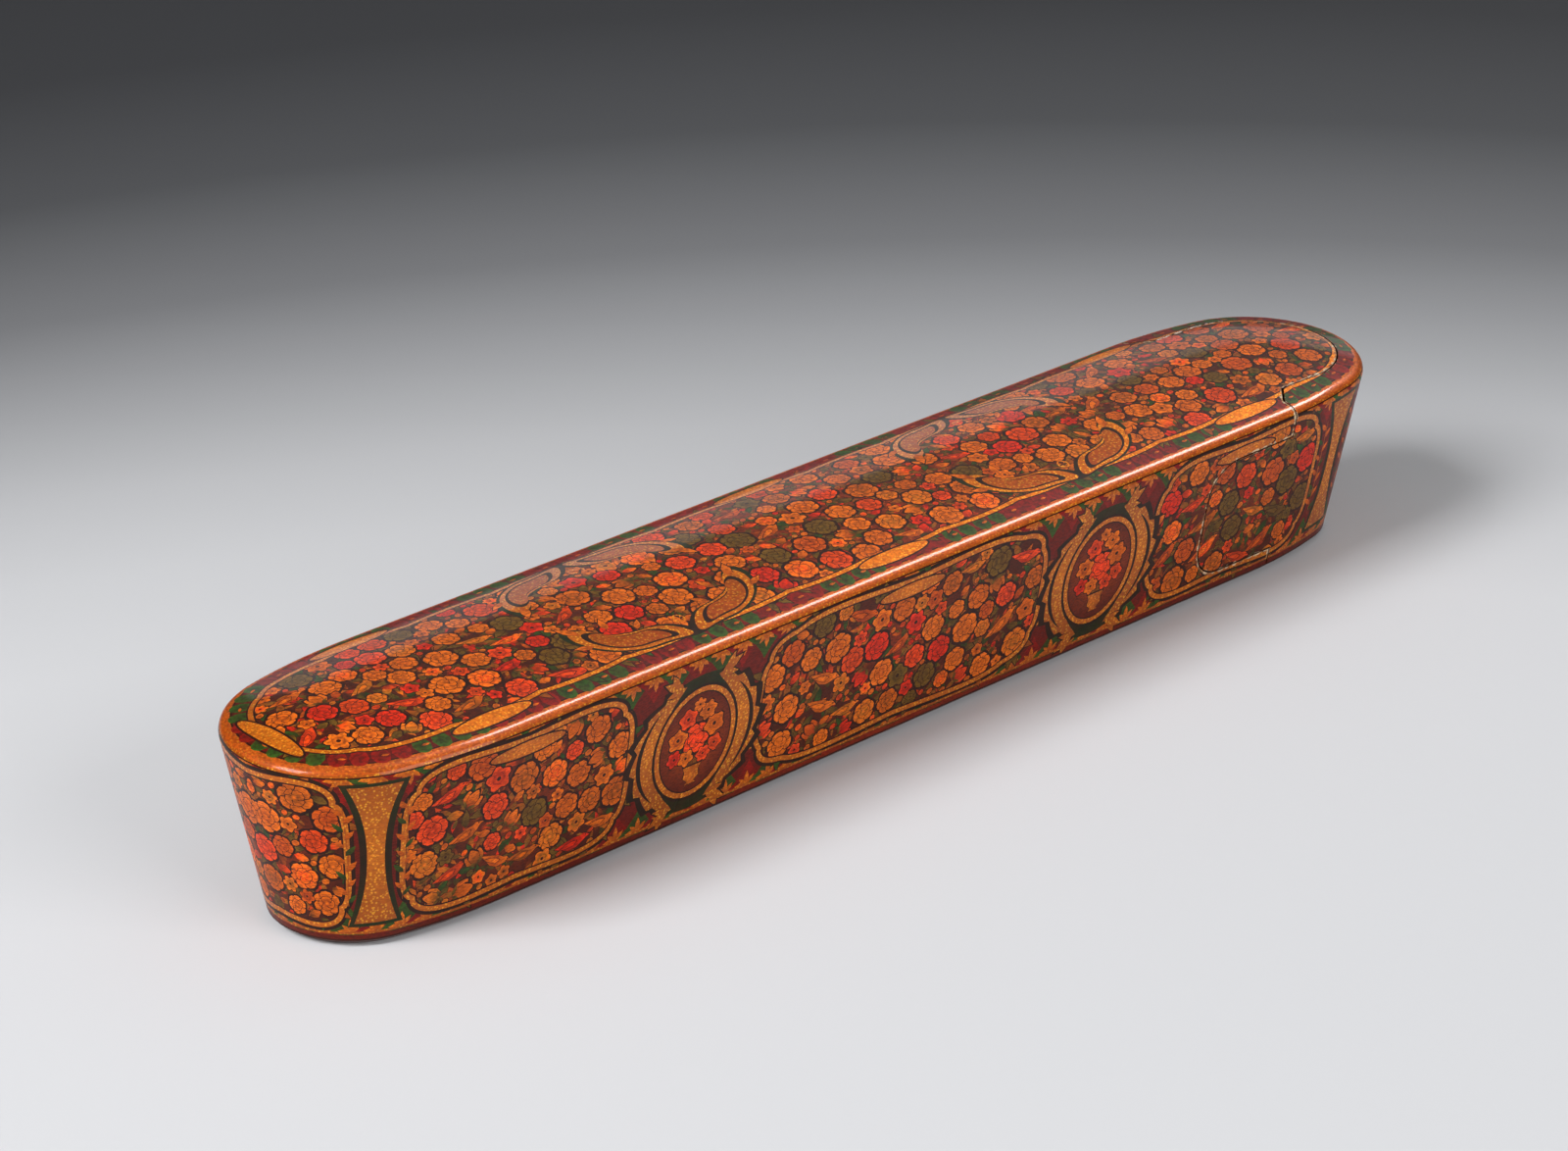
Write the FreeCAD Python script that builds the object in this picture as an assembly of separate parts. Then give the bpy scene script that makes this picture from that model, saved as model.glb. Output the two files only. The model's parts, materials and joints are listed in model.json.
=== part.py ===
import FreeCAD, Part
import math
import os
from FreeCAD import Vector

# Lacquered papier-mache pen box of the sliding kind, with its writing set
# Millimetres. X runs along the box, the drawer head is at +X, Z is up,
# and the foot rests on Z = 0 with the origin under the middle of the box.

# Outer form
rim_length = 240.6
rim_width = 42.7
rim_height = 32.0
crown_rise = 2.4
wall_lean = 6.1
nose_radius = 19.6
flank_radius = 87.0
rim_rounding = 1.8
rim_bevels = 3
foot_bevel = 1.2

# Shells
sleeve_wall = 2.0
slide_clearance = 0.3
ceiling_break = 9.0
tray_wall = 1.6
tray_floor = 1.6
tray_headroom = 4.0
tray_foot_bevel = 0.8

# Seam between the sleeve and the drawer head
seam_gap = 0.3
shoulder_x = 88.5
flange_width = 4.9
root_flare = 3.2
side_tongue_length = 19.9
side_tongue_base = 4.6
side_tongue_top = 27.2
side_tongue_corner = 6.5

# Partition that keeps the inkwell in its place
divider_thickness = 1.2
divider_height = 13.0

# Inkwell, its front end measured from the centre of the tray's round end
well_nose_gap = 2.9
well_length = 25.0
well_width = 21.0
well_height = 11.0
well_wall = 1.1
well_corner = 4.0
well_clearance = 0.6
well_seat_gap = 0.1
collar_thickness = 1.0
collar_overhang = 0.4
mouth_diameter = 9.0
lid_diameter = 12.0
lid_thickness = 1.0
lid_crown = 0.5
lid_crown_inset = 1.4
lid_seat_gap = 0.1
knob_diameter = 2.4
knob_height = 1.7
hinge_pin_diameter = 1.0
hinge_running_gap = 0.08
knuckle_diameter = 2.6
knuckle_length = 2.4
knuckle_side_gap = 0.15
hinge_pin_overhang = 0.3
wad_height = 4.6
wad_clearance = 0.3
wad_seat_gap = 0.1

# Reed pens, from the front wall to the back and then the one on top. The nibs
# are measured from the divider, the tails from the tray's other round end.
pen_nib_gaps = (9.0, 7.0, 11.0, 15.0)
pen_tail_gaps = (24.7, 9.7, -1.3, 9.7)
pen_diameters = (6.8, 6.4, 6.6, 6.0)
pen_nib_widths = (3.0, 2.0, 4.0, 1.4)
pen_seat_gap = 0.15
pen_bore_share = 0.62
pen_bore_depth = 24.0
pen_scoop_length = 17.0
pen_scoop_radius = 26.0
nib_thickness = 0.9

# Penknife
knife_point_gap = 12.0
knife_handle_length = 84.0
knife_handle_diameter = 5.4
knife_neck_diameter = 4.6
knife_bulb_diameter = 5.8
ferrule_length = 7.0
ferrule_wall = 0.4
blade_length = 42.0
blade_depth = 3.8
blade_back = 1.3
blade_edge = 0.2

# Nib block, the plate on which a reed is cut
block_length = 92.0
block_height = 13.0
block_thickness = 2.2
block_end_gap = 41.0
block_wall_gap = 0.3
block_waist = 2.4
block_rest_length = 15.0
block_rest_width = 4.0
block_rest_rise = 0.9
block_groove_radius = 1.5

# Water spoon
spoon_stem_length = 49.5
spoon_stem_diameter = 1.6
spoon_bowl_diameter = 8.0
spoon_bowl_depth = 2.6
spoon_foot_share = 0.5
spoon_stem_drop = 0.2
spoon_bowl_wall = 0.7
spoon_finial_diameter = 2.6
spoon_divider_gap = 32.4

# Worked out from the sizes above
half_length = rim_length / 2
rim_half_width = rim_width / 2
nose_x = half_length - nose_radius
flank_y = rim_half_width - flank_radius
flank_x = nose_x - math.sqrt((flank_radius - nose_radius) ** 2 - flank_y**2)
flank_turn = math.degrees(math.atan2(-flank_y, nose_x - flank_x))
crown_radius = (nose_radius**2 + crown_rise**2) / (2 * crown_rise)
lean = math.atan2(wall_lean, rim_height)
drawer_inset = sleeve_wall + slide_clearance
tray_bottom = sleeve_wall + slide_clearance
tray_inset = drawer_inset + tray_wall
tray_deck = tray_bottom + tray_floor
tray_top = rim_height - sleeve_wall - tray_headroom + slide_clearance
well_x = nose_x - well_nose_gap - well_length / 2
divider_x = well_x - well_length / 2 - well_clearance - divider_thickness
pen_ends = [divider_x - gap for gap in pen_nib_gaps]
pen_tails = [gap - nose_x for gap in pen_tail_gaps]
knife_front = divider_x - knife_point_gap - blade_length - ferrule_length
knife_tail_x = knife_front - knife_handle_length
block_tail_x = divider_x - block_end_gap - block_length
spoon_bowl_x = divider_x - spoon_divider_gap
far = rim_length


def wall_depth(z):
    """How far the leaning wall stands inside the rim's outline at a height."""
    return wall_lean * (1.0 - z / rim_height)


def on_wall(z, inset, away):
    """Depth of a line parallel to an inset wall and a true distance inside it."""
    return wall_depth(z) + inset + away / math.cos(lean)


def crown_height(depth, drop):
    """Height of the domed top at a depth inside the rim, lowered by a drop."""
    short = max(nose_radius - depth, 0.0)
    centre = rim_height + crown_rise - drop - crown_radius
    return centre + math.sqrt(crown_radius**2 - short**2)


def edge_centre(inset, drop, radius):
    """Depth and height of the centre of a round between wall and domed top."""
    centre = rim_height + crown_rise - drop - crown_radius
    slope = math.tan(lean)
    across = on_wall(0.0, inset, radius) - nose_radius
    a = 1 + slope**2
    b = across * slope + centre
    c = across**2 + centre**2 - (crown_radius - radius) ** 2
    z = (b + math.sqrt(b**2 - a * c)) / a
    return on_wall(z, inset, radius), z


def outline_edges(points, at):
    """Straight edges through (depth, height) points, without those of no length."""
    edges = []
    for start, end in zip(points, points[1:]):
        if math.dist(start, end) > 0.001:
            edges.append(Part.makeLine(at(*start), at(*end)))
    return edges


def foot_points(low, inset, bevel, reach):
    """Floor and bevelled foot of a section, from its reach to its wall."""
    points = [(reach, low), (on_wall(low, inset, 0.0) + bevel, low)]
    return points + [(on_wall(low + bevel, inset, 0.0), low + bevel)]


def rim_points():
    """Points of the rounded rim, from the wall to the dome, on narrow bevels."""
    depth, z = edge_centre(0.0, 0.0, rim_rounding)
    crown_centre = rim_height + crown_rise - crown_radius
    first = math.pi + lean
    last = math.atan2(z - crown_centre, depth - nose_radius)
    points = []
    for step in range(rim_bevels + 1):
        angle = first + (last - first) * step / rim_bevels
        points.append((depth + rim_rounding * math.cos(angle),
                       z + rim_rounding * math.sin(angle)))
    return points


def outside_section(reach, at):
    """Half section of the closed box, with its rounded rim and its dome."""
    rim = rim_points()
    half_way = (rim[-1][0] + nose_radius) / 2
    crown = (nose_radius, crown_height(nose_radius, 0.0))
    edges = outline_edges(foot_points(0.0, 0.0, foot_bevel, reach) + rim, at)
    edges.append(Part.Arc(at(*rim[-1]), at(half_way, crown_height(half_way, 0.0)),
                          at(*crown)).toShape())
    edges += outline_edges([crown, (reach, crown[1]), (reach, 0.0)], at)
    return Part.Face(Part.Wire(edges))


def room_section(inset):
    """Half section of the room in a shell, its ceiling broken once under the dome."""
    def section(reach, at):
        wall_top = edge_centre(inset, inset, 0.0)
        points = foot_points(inset, inset, 0.0, reach) + [wall_top]
        for depth in (ceiling_break, nose_radius, reach):
            points.append((depth, crown_height(depth, inset)))
        points.append((reach, inset))
        return Part.Face(Part.Wire(outline_edges(points, at)))
    return section


def trough_section(low, high, inset, bevel):
    """Half section of a tray, with a flat top."""
    def section(reach, at):
        points = foot_points(low, inset, bevel, reach)
        points += [(on_wall(high, inset, 0.0), high), (reach, high), (reach, low)]
        return Part.Face(Part.Wire(outline_edges(points, at)))
    return section


def place(centre_x, centre_y, radius, angle):
    """Where a depth and a height lie, in an upright plane through a centre."""
    along = math.cos(math.radians(angle))
    across = math.sin(math.radians(angle))

    def at(depth, z):
        out = radius - depth
        return Vector(centre_x + out * along, centre_y + out * across, z)
    return at


def carried_round(section):
    """Solid with one section carried along the sides, the flanks and the noses."""
    up = Vector(0, 0, 1)
    side = section(rim_half_width, place(-flank_x, 0, rim_half_width, 90))
    side = side.extrude(Vector(2 * flank_x, 0, 0))
    flank = section(rim_half_width, place(flank_x, flank_y, flank_radius, 90))
    flank = flank.revolve(Vector(flank_x, flank_y, 0), up, flank_turn - 90)
    flank = flank.common(Part.makeBox(far, far, far, Vector(flank_x, 0, 0)))
    nose = section(nose_radius, place(nose_x, 0, nose_radius, -flank_turn))
    nose = nose.revolve(Vector(nose_x, 0, 0), up, 2 * flank_turn)
    back = Vector(0, 1, 0)
    end = nose.multiFuse([flank, flank.mirror(Vector(), back)])
    pieces = [side.mirror(Vector(), back), end, end.mirror(Vector(), Vector(1, 0, 0))]
    return side.multiFuse(pieces).removeSplitter()


def edges_at(shape, z, tolerance=0.01):
    """Edges of a shape that lie flat at one height."""
    found = []
    for edge in shape.Edges:
        box = edge.BoundBox
        if abs(box.ZMin - z) < tolerance and abs(box.ZMax - z) < tolerance:
            found.append(edge)
    return found


def shell(inset):
    """The outside hollowed to a wall thickness, closed all round."""
    return carried_round(outside_section).cut(carried_round(room_section(inset)))


def block(x1, x2, y1, y2, z1, z2):
    """Box between two corners."""
    return Part.makeBox(x2 - x1, y2 - y1, z2 - z1, Vector(x1, y1, z1))


def flat_tongue(z, low, high, gap):
    """The sleeve's rounded tongue seen from above, grown by a gap."""
    radius = nose_radius - wall_depth(z) - flange_width + gap
    root = shoulder_x + gap
    corner = radius + root_flare
    points = [
        Vector(shoulder_x - seam_gap, -corner, low),
        Vector(root, -corner, low),
        Vector(root + root_flare, -radius, low),
        Vector(nose_x, -radius, low),
    ]
    mirror = [Vector(p.x, -p.y, low) for p in points]
    tip = Part.Arc(points[3], Vector(nose_x + radius, 0, low), mirror[3]).toShape()
    near = Part.makePolygon(points)
    away = Part.makePolygon([mirror[3], mirror[2], mirror[1], mirror[0], points[0]])
    wire = Part.Wire(near.Edges + [tip] + away.Edges)
    return Part.Face(wire).extrude(Vector(0, 0, high - low))


def side_tongue(gap):
    """The drawer head's tongue seen from the side, drawn in by a gap."""
    left = shoulder_x - side_tongue_length + gap
    low = side_tongue_base + gap
    high = side_tongue_top - gap
    radius = side_tongue_corner - gap
    plate = block(left, far, -far, far, low, high)
    corners = [e for e in plate.Edges if abs(e.Vertexes[0].X - left) < 0.01
               and abs(e.Vertexes[1].X - left) < 0.01 and e.Length > far]
    return plate.makeFillet(radius, corners)


def straight_run():
    """Way for the tray's full section through the narrowing mouth of the sleeve."""
    top = tray_top + slide_clearance
    low = rim_half_width - on_wall(sleeve_wall, sleeve_wall, 0.0)
    high = rim_half_width - on_wall(top, sleeve_wall, 0.0)
    points = [Vector(0, -low, sleeve_wall), Vector(0, low, sleeve_wall),
              Vector(0, high, top), Vector(0, -high, top)]
    return Part.Face(Part.makePolygon(points + points[:1])).extrude(Vector(far, 0, 0))


def sleeve_shell():
    """Fixed outer sleeve: closed at -X, cut at +X to take the drawer head."""
    whole = shell(sleeve_wall)
    left = block(-far, shoulder_x, -far, far, -far, far).cut(side_tongue(0.0))
    top = flat_tongue(rim_height, tray_top, far, 0.0)
    foot = flat_tongue(0.0, -far, tray_deck, 0.0)
    return whole.common(left.fuse(top).fuse(foot)).cut(straight_run())


def drawer_head():
    """Round end of the box that comes away with the tray."""
    whole = shell(drawer_inset)
    right = block(shoulder_x + seam_gap, far, -far, far, -far, far)
    right = right.cut(flat_tongue(rim_height, tray_top, far, seam_gap))
    right = right.cut(flat_tongue(0.0, -far, tray_deck, seam_gap))
    return whole.common(right.fuse(side_tongue(seam_gap)))


def tray_space():
    """Room inside the tray, from its deck to its top."""
    return carried_round(trough_section(tray_deck, tray_top, tray_inset, 0.0))


def tray_shell():
    """Long open trough that slides in the sleeve and is glued into the head."""
    body = carried_round(trough_section(tray_bottom, tray_top, drawer_inset, tray_foot_bevel))
    return body.cut(tray_space())


def tray_divider():
    """Low partition across the tray, between the pens and the inkwell."""
    slab = block(divider_x, divider_x + divider_thickness, -far, far,
                 tray_deck, tray_deck + divider_height)
    return tray_space().common(slab)


well_base = tray_deck + well_seat_gap
well_top = well_base + well_height
collar_top = well_top + collar_thickness
lid_base = collar_top + lid_seat_gap
hinge_x = well_x + lid_diameter / 2 + knuckle_diameter / 2
hinge_z = collar_top + knuckle_diameter / 2 + lid_seat_gap


def rounded_block(length, width, height, corner, centre_x, base):
    """Upright block with rounded vertical corners."""
    body = block(centre_x - length / 2, centre_x + length / 2, -width / 2, width / 2,
                 base, base + height)
    upright = [e for e in body.Edges if e.BoundBox.ZLength > height / 2]
    return body.makeFillet(corner, upright)


def rod(diameter, length, x, y, z, direction):
    """Cylinder from a point along a direction."""
    return Part.makeCylinder(diameter / 2, length, Vector(x, y, z), direction)


def knuckles(spans):
    """Hinge barrels along Y, bored for the pin, over the given spans."""
    parts = []
    bore = hinge_pin_diameter + 2 * hinge_running_gap
    for start, end in spans:
        barrel = rod(knuckle_diameter, end - start, hinge_x, start, hinge_z, Vector(0, 1, 0))
        hole = rod(bore, end - start, hinge_x, start, hinge_z, Vector(0, 1, 0))
        parts.append(barrel.cut(hole))
    return parts


middle_knuckle = knuckle_length / 2
outer_start = middle_knuckle + knuckle_side_gap
outer_end = outer_start + knuckle_length


def inkwell_body():
    """Thin brass cup with rounded corners."""
    outside = rounded_block(well_length, well_width, well_height, well_corner,
                            well_x, well_base)
    inside = rounded_block(well_length - 2 * well_wall, well_width - 2 * well_wall,
                           well_height, well_corner - well_wall, well_x,
                           well_base + well_wall)
    return outside.cut(inside)


def inkwell_collar():
    """Top plate of the inkwell with its mouth and the two outer knuckles."""
    plate = rounded_block(well_length + 2 * collar_overhang, well_width + 2 * collar_overhang,
                          collar_thickness, well_corner + collar_overhang, well_x, well_top)
    mouth = rod(mouth_diameter, far, well_x, 0, 0, Vector(0, 0, 1))
    plate = plate.cut(mouth)
    spans = ((-outer_end, -outer_start), (outer_start, outer_end))
    for (start, end), barrel in zip(spans, knuckles(spans)):
        foot = block(hinge_x - knuckle_diameter / 2, hinge_x + knuckle_diameter / 2,
                     start, end, collar_top, hinge_z)
        bore = hinge_pin_diameter + 2 * hinge_running_gap
        hole = rod(bore, end - start, hinge_x, start, hinge_z, Vector(0, 1, 0))
        plate = plate.fuse(barrel.fuse(foot.cut(hole)))
    return plate.removeSplitter()


def inkwell_lid():
    """Small stepped lid with its middle knuckle."""
    up = Vector(0, 0, 1)
    top = lid_base + lid_thickness
    disc = rod(lid_diameter, lid_thickness, well_x, 0, lid_base, up)
    crown = rod(lid_diameter - 2 * lid_crown_inset, lid_crown, well_x, 0, top, up)
    span = (-middle_knuckle, middle_knuckle)
    barrel = knuckles([span])[0]
    leaf = block(hinge_x - knuckle_diameter, hinge_x, span[0], span[1], lid_base, top)
    hole = rod(hinge_pin_diameter + 2 * hinge_running_gap, 2 * middle_knuckle, hinge_x,
               span[0], hinge_z, Vector(0, 1, 0))
    return disc.fuse(crown).fuse(barrel).fuse(leaf).cut(hole).removeSplitter()


def inkwell_knob():
    """Turned knob on the middle of the lid: a neck under a wider button."""
    base = lid_base + lid_thickness + lid_crown
    half = knob_height / 2
    up = Vector(0, 0, 1)
    neck = rod(knob_diameter * 0.5, half, well_x, 0, base, up)
    return neck.fuse(rod(knob_diameter, half, well_x, 0, base + half, up))


def inkwell_hinge_pin():
    """Pin through the three knuckles."""
    reach = outer_end + hinge_pin_overhang
    return rod(hinge_pin_diameter, 2 * reach, hinge_x, -reach, hinge_z, Vector(0, 1, 0))


def ink_wad():
    """Wad of raw silk that holds the ink, filling the lower part of the cup."""
    inset = well_wall + wad_clearance
    return rounded_block(well_length - 2 * inset, well_width - 2 * inset, wad_height,
                         well_corner - inset, well_x, well_base + well_wall + wad_seat_gap)


def half_width_inside(z):
    """Half width of the room in the tray at a height, on the straight length."""
    return rim_half_width - on_wall(z, tray_inset, 0.0)


def pen_places():
    """Centre lines of the four reeds: three on the deck and one on top of them."""
    radii = [d / 2 for d in pen_diameters]
    places = []
    y = -half_width_inside(tray_deck + radii[0]) + pen_seat_gap
    for radius in radii[:3]:
        y += radius + pen_seat_gap
        places.append((y, tray_deck + radius + pen_seat_gap))
        y += radius
    places.append(nest(places[1], radii[1], places[2], radii[2], radii[3]))
    return places


def nest(first, first_radius, second, second_radius, radius):
    """Centre of a rod that lies in the groove between two others."""
    to_first = first_radius + radius + pen_seat_gap
    to_second = second_radius + radius + pen_seat_gap
    dy = second[0] - first[0]
    dz = second[1] - first[1]
    apart = math.hypot(dy, dz)
    along = (to_first**2 - to_second**2 + apart**2) / (2 * apart)
    off = math.sqrt(to_first**2 - along**2)
    return (
        first[0] + (dy * along - dz * off) / apart,
        first[1] + (dz * along + dy * off) / apart,
    )


def reed_pen(index):
    """Reed with a bored, scooped and squared nib at +X."""
    diameter = pen_diameters[index]
    y, z = pen_places()[index]
    end = pen_ends[index]
    length = end - pen_tails[index]
    along = Vector(1, 0, 0)
    reed = rod(diameter, length, end - length, y, z, along)
    bore = rod(diameter * pen_bore_share, pen_bore_depth, end - pen_bore_depth, y, z, along)
    reed = reed.cut(bore)
    nib_top = z - diameter / 2 + nib_thickness
    scoop_x = end - pen_scoop_length + pen_scoop_radius * 0.75
    scoop = Part.makeCylinder(pen_scoop_radius, far, Vector(scoop_x, y - far / 2,
                              nib_top + pen_scoop_radius), Vector(0, 1, 0))
    reed = reed.cut(scoop)
    ahead = block(scoop_x, far, y - far / 2, y + far / 2, nib_top, far)
    reed = reed.cut(ahead)
    for side in (-1, 1):
        reed = reed.cut(nib_shoulder(index, side))
    return reed


def nib_shoulder(index, side):
    """Wedge that narrows one side of a nib."""
    y, z = pen_places()[index]
    end = pen_ends[index]
    half_nib = pen_nib_widths[index] / 2
    radius = pen_diameters[index] / 2 + 1
    points = [
        Vector(end - pen_scoop_length * 0.7, y + side * radius, z - radius),
        Vector(end + 1, y + side * radius, z - radius),
        Vector(end + 1, y + side * half_nib, z - radius),
        Vector(end - pen_scoop_length * 0.15, y + side * half_nib, z - radius),
    ]
    wire = Part.makePolygon(points + points[:1])
    return Part.Face(wire).extrude(Vector(0, 0, 2 * radius))


def knife_place():
    """Centre line of the knife, in the groove beside the top reed."""
    places = pen_places()
    radii = [d / 2 for d in pen_diameters]
    return nest(places[0], radii[0], places[1], radii[1], knife_bulb_diameter / 2)


def turned(stations, y, z):
    """Solid turned about a line along X, from (x, radius) stations."""
    line = [Vector(stations[0][0], y, z)]
    line += [Vector(x, y, z + radius) for x, radius in stations]
    line.append(Vector(stations[-1][0], y, z))
    wire = Part.makePolygon(line + line[:1])
    return Part.Face(wire).revolve(Vector(0, y, z), Vector(1, 0, 0), 360)


def penknife_handle():
    """Turned bone handle, swelling at the tail and drawn in at the neck."""
    y, z = knife_place()
    tail = knife_tail_x
    length = knife_handle_length
    neck = knife_neck_diameter / 2
    bulb = knife_bulb_diameter / 2
    belly = knife_handle_diameter / 2
    stations = [
        (tail, neck * 0.6),
        (tail + length * 0.04, bulb),
        (tail + length * 0.10, bulb),
        (tail + length * 0.14, neck),
        (tail + length * 0.17, neck),
        (tail + length * 0.17, belly),
        (knife_front, belly),
    ]
    return turned(stations, y, z)


def penknife_ferrule():
    """Brass collar between the handle and the blade."""
    y, z = knife_place()
    radius = knife_neck_diameter / 2
    stations = [
        (knife_front, radius + ferrule_wall),
        (knife_front + ferrule_length * 0.25, radius + ferrule_wall),
        (knife_front + ferrule_length * 0.25, radius),
        (knife_front + ferrule_length, radius),
    ]
    return turned(stations, y, z)


def penknife_blade():
    """Short wedge-shaped blade with a straight edge below and a back that drops."""
    y, z = knife_place()
    start = knife_front + ferrule_length
    end = start + blade_length
    low = z - blade_depth / 2
    high = z + blade_depth / 2
    section = [
        Vector(start, y - blade_back / 2, high),
        Vector(start, y + blade_back / 2, high),
        Vector(start, y + blade_edge / 2, low),
        Vector(start, y - blade_edge / 2, low),
    ]
    bar = Part.Face(Part.makePolygon(section + section[:1])).extrude(Vector(blade_length, 0, 0))
    above = [
        Vector(start + blade_length * 0.6, y - blade_back, high),
        Vector(end + 1, y - blade_back, high),
        Vector(end + 1, y - blade_back, low),
        Vector(end, y - blade_back, low + blade_edge),
    ]
    slope = Part.Face(Part.makePolygon(above + above[:1])).extrude(Vector(0, 2 * blade_back, 0))
    return bar.cut(slope)


def nib_block():
    """Bone plate with a grooved rest, standing on edge against the tray's wall."""
    half = block_height / 2
    waist = half - block_waist
    end = block_length / 2
    shoulder = block_length * 0.28
    points_above = [Vector(-end, 0, half - 1), Vector(-shoulder, 0, half),
                    Vector(0, 0, waist), Vector(shoulder, 0, half), Vector(end, 0, half - 1)]
    upper = Part.BSplineCurve()
    upper.interpolate(points_above)
    lower = Part.makePolygon([Vector(end, 0, half - 1), Vector(end, 0, -half),
                              Vector(-end, 0, -half), Vector(-end, 0, half - 1)])
    plate = Part.Face(Part.Wire([upper.toShape()] + lower.Edges))
    plate = plate.extrude(Vector(0, block_thickness, 0))
    rest = block(-block_rest_length / 2, block_rest_length / 2, -block_rest_rise, 0,
                 -half + 1, -half + 1 + block_rest_width)
    groove = rod(2 * block_groove_radius, far, -far / 2, -block_rest_rise - 0.6,
                 -half + 1 + block_rest_width / 2, Vector(1, 0, 0))
    plate = plate.fuse(rest.cut(groove)).removeSplitter()
    plate.rotate(Vector(0, block_thickness, -half), Vector(1, 0, 0), -math.degrees(lean))
    wall = half_width_inside(tray_deck) - block_wall_gap
    plate.translate(Vector(block_tail_x + end, wall - block_thickness,
                           tray_deck + pen_seat_gap + half))
    low = tray_deck + pen_seat_gap - plate.BoundBox.ZMin
    plate.translate(Vector(0, 0, low))
    return plate


def spoon_cup(radius, base, y, depth):
    """Round cup with a flat foot and a flaring wall."""
    return Part.makeCone(radius * spoon_foot_share, radius, depth,
                         Vector(spoon_bowl_x, y, base), Vector(0, 0, 1))


def water_spoon():
    """Small brass spoon with which water is added to the ink."""
    places = pen_places()
    radius = spoon_bowl_diameter / 2
    y, z = nest(places[3], pen_diameters[3] / 2, places[2], pen_diameters[2] / 2, radius)
    base = z - radius * math.sqrt(1 - spoon_foot_share**2)
    hollow = spoon_cup(radius - spoon_bowl_wall, base + spoon_bowl_wall, y,
                       spoon_bowl_depth - spoon_bowl_wall)
    bowl = spoon_cup(radius, base, y, spoon_bowl_depth).cut(hollow)
    stem_z = base + spoon_bowl_depth - spoon_stem_diameter / 2 - spoon_stem_drop
    start = spoon_bowl_x - radius * spoon_foot_share
    stem = rod(spoon_stem_diameter, spoon_stem_length, start, y, stem_z, Vector(-1, 0, 0))
    finial = rod(spoon_finial_diameter, spoon_finial_diameter, start - spoon_stem_length,
                 y, stem_z, Vector(-1, 0, 0))
    return bowl.fuse(stem.cut(hollow)).fuse(finial).removeSplitter()


nodes = {
    "sleeve_shell": sleeve_shell,
    "drawer_head": drawer_head,
    "tray_shell": tray_shell,
    "tray_divider": tray_divider,
    "inkwell_body": inkwell_body,
    "inkwell_collar": inkwell_collar,
    "inkwell_lid": inkwell_lid,
    "inkwell_knob": inkwell_knob,
    "inkwell_hinge_pin": inkwell_hinge_pin,
    "ink_wad": ink_wad,
    "penknife_handle": penknife_handle,
    "penknife_ferrule": penknife_ferrule,
    "penknife_blade": penknife_blade,
    "nib_block": nib_block,
    "water_spoon": water_spoon,
}

os.makedirs("parts", exist_ok=True)
for name, make in nodes.items():
    shape = make()
    shape.exportStep("parts/" + name + ".step")
    print(name, shape.isValid(), len(shape.Solids), round(shape.Volume, 1))
for index in range(len(pen_diameters)):
    shape = reed_pen(index)
    name = "reed_pen_" + str(index + 1)
    shape.exportStep("parts/" + name + ".step")
    print(name, shape.isValid(), len(shape.Solids), round(shape.Volume, 1))
print("hinge", round(hinge_x, 3), round(hinge_z, 3), "well", round(well_x, 3))
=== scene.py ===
import json
import math
import random

import bpy
import numpy as np
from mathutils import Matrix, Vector
from mathutils.geometry import delaunay_2d_cdt

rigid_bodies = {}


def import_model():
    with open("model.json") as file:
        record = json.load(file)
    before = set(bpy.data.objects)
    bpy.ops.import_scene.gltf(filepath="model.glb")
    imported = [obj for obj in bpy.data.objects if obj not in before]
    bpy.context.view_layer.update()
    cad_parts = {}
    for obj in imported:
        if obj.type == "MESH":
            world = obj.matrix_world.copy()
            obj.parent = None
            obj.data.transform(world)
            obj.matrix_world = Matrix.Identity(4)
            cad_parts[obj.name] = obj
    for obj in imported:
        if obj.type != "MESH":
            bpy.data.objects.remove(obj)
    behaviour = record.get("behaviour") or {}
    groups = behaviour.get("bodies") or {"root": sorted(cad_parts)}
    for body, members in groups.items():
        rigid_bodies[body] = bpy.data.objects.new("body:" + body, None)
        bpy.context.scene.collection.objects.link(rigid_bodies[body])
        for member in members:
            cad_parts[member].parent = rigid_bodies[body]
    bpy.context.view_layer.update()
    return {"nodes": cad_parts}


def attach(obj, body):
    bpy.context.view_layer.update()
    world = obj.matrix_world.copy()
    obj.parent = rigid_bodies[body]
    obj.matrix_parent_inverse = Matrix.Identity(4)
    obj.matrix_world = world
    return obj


# Lacquered pen box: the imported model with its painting, materials, floor and lights.
# The painting is drawn in millimetres on the unrolled outside, then carried onto it.

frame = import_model()

MM = 0.001

# Outer form, in millimetres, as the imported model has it
RIM_LENGTH = 240.6
RIM_WIDTH = 42.7
RIM_HEIGHT = 32.0
CROWN_RISE = 2.4
WALL_LEAN = 6.1
NOSE_RADIUS = 19.6
FLANK_RADIUS = 87.0
RIM_ROUNDING = 1.8
FOOT_BEVEL = 1.2

# Seam between sleeve and drawer head
SEAM_GAP = 0.3
SHOULDER_X = 88.5
FLANGE_WIDTH = 4.9
ROOT_FLARE = 3.2
TONGUE_LENGTH = 19.9
TONGUE_BASE = 4.6
TONGUE_TOP = 27.2
TONGUE_CORNER = 6.5

# Painted skin
SKIN_RISE = 0.12
SKIN_TUCK = 0.03
UNROLL_DEPTH = 2.5
GRID_STEP = 1.6
RIM_STEP = 0.4
CELL_STEPS = 90
# Where a triangle lies, one bit each: inside the seam, and inside the gap beside it
OUTSIDE_SEAM, INSIDE_GAP = 0, 3

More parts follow.
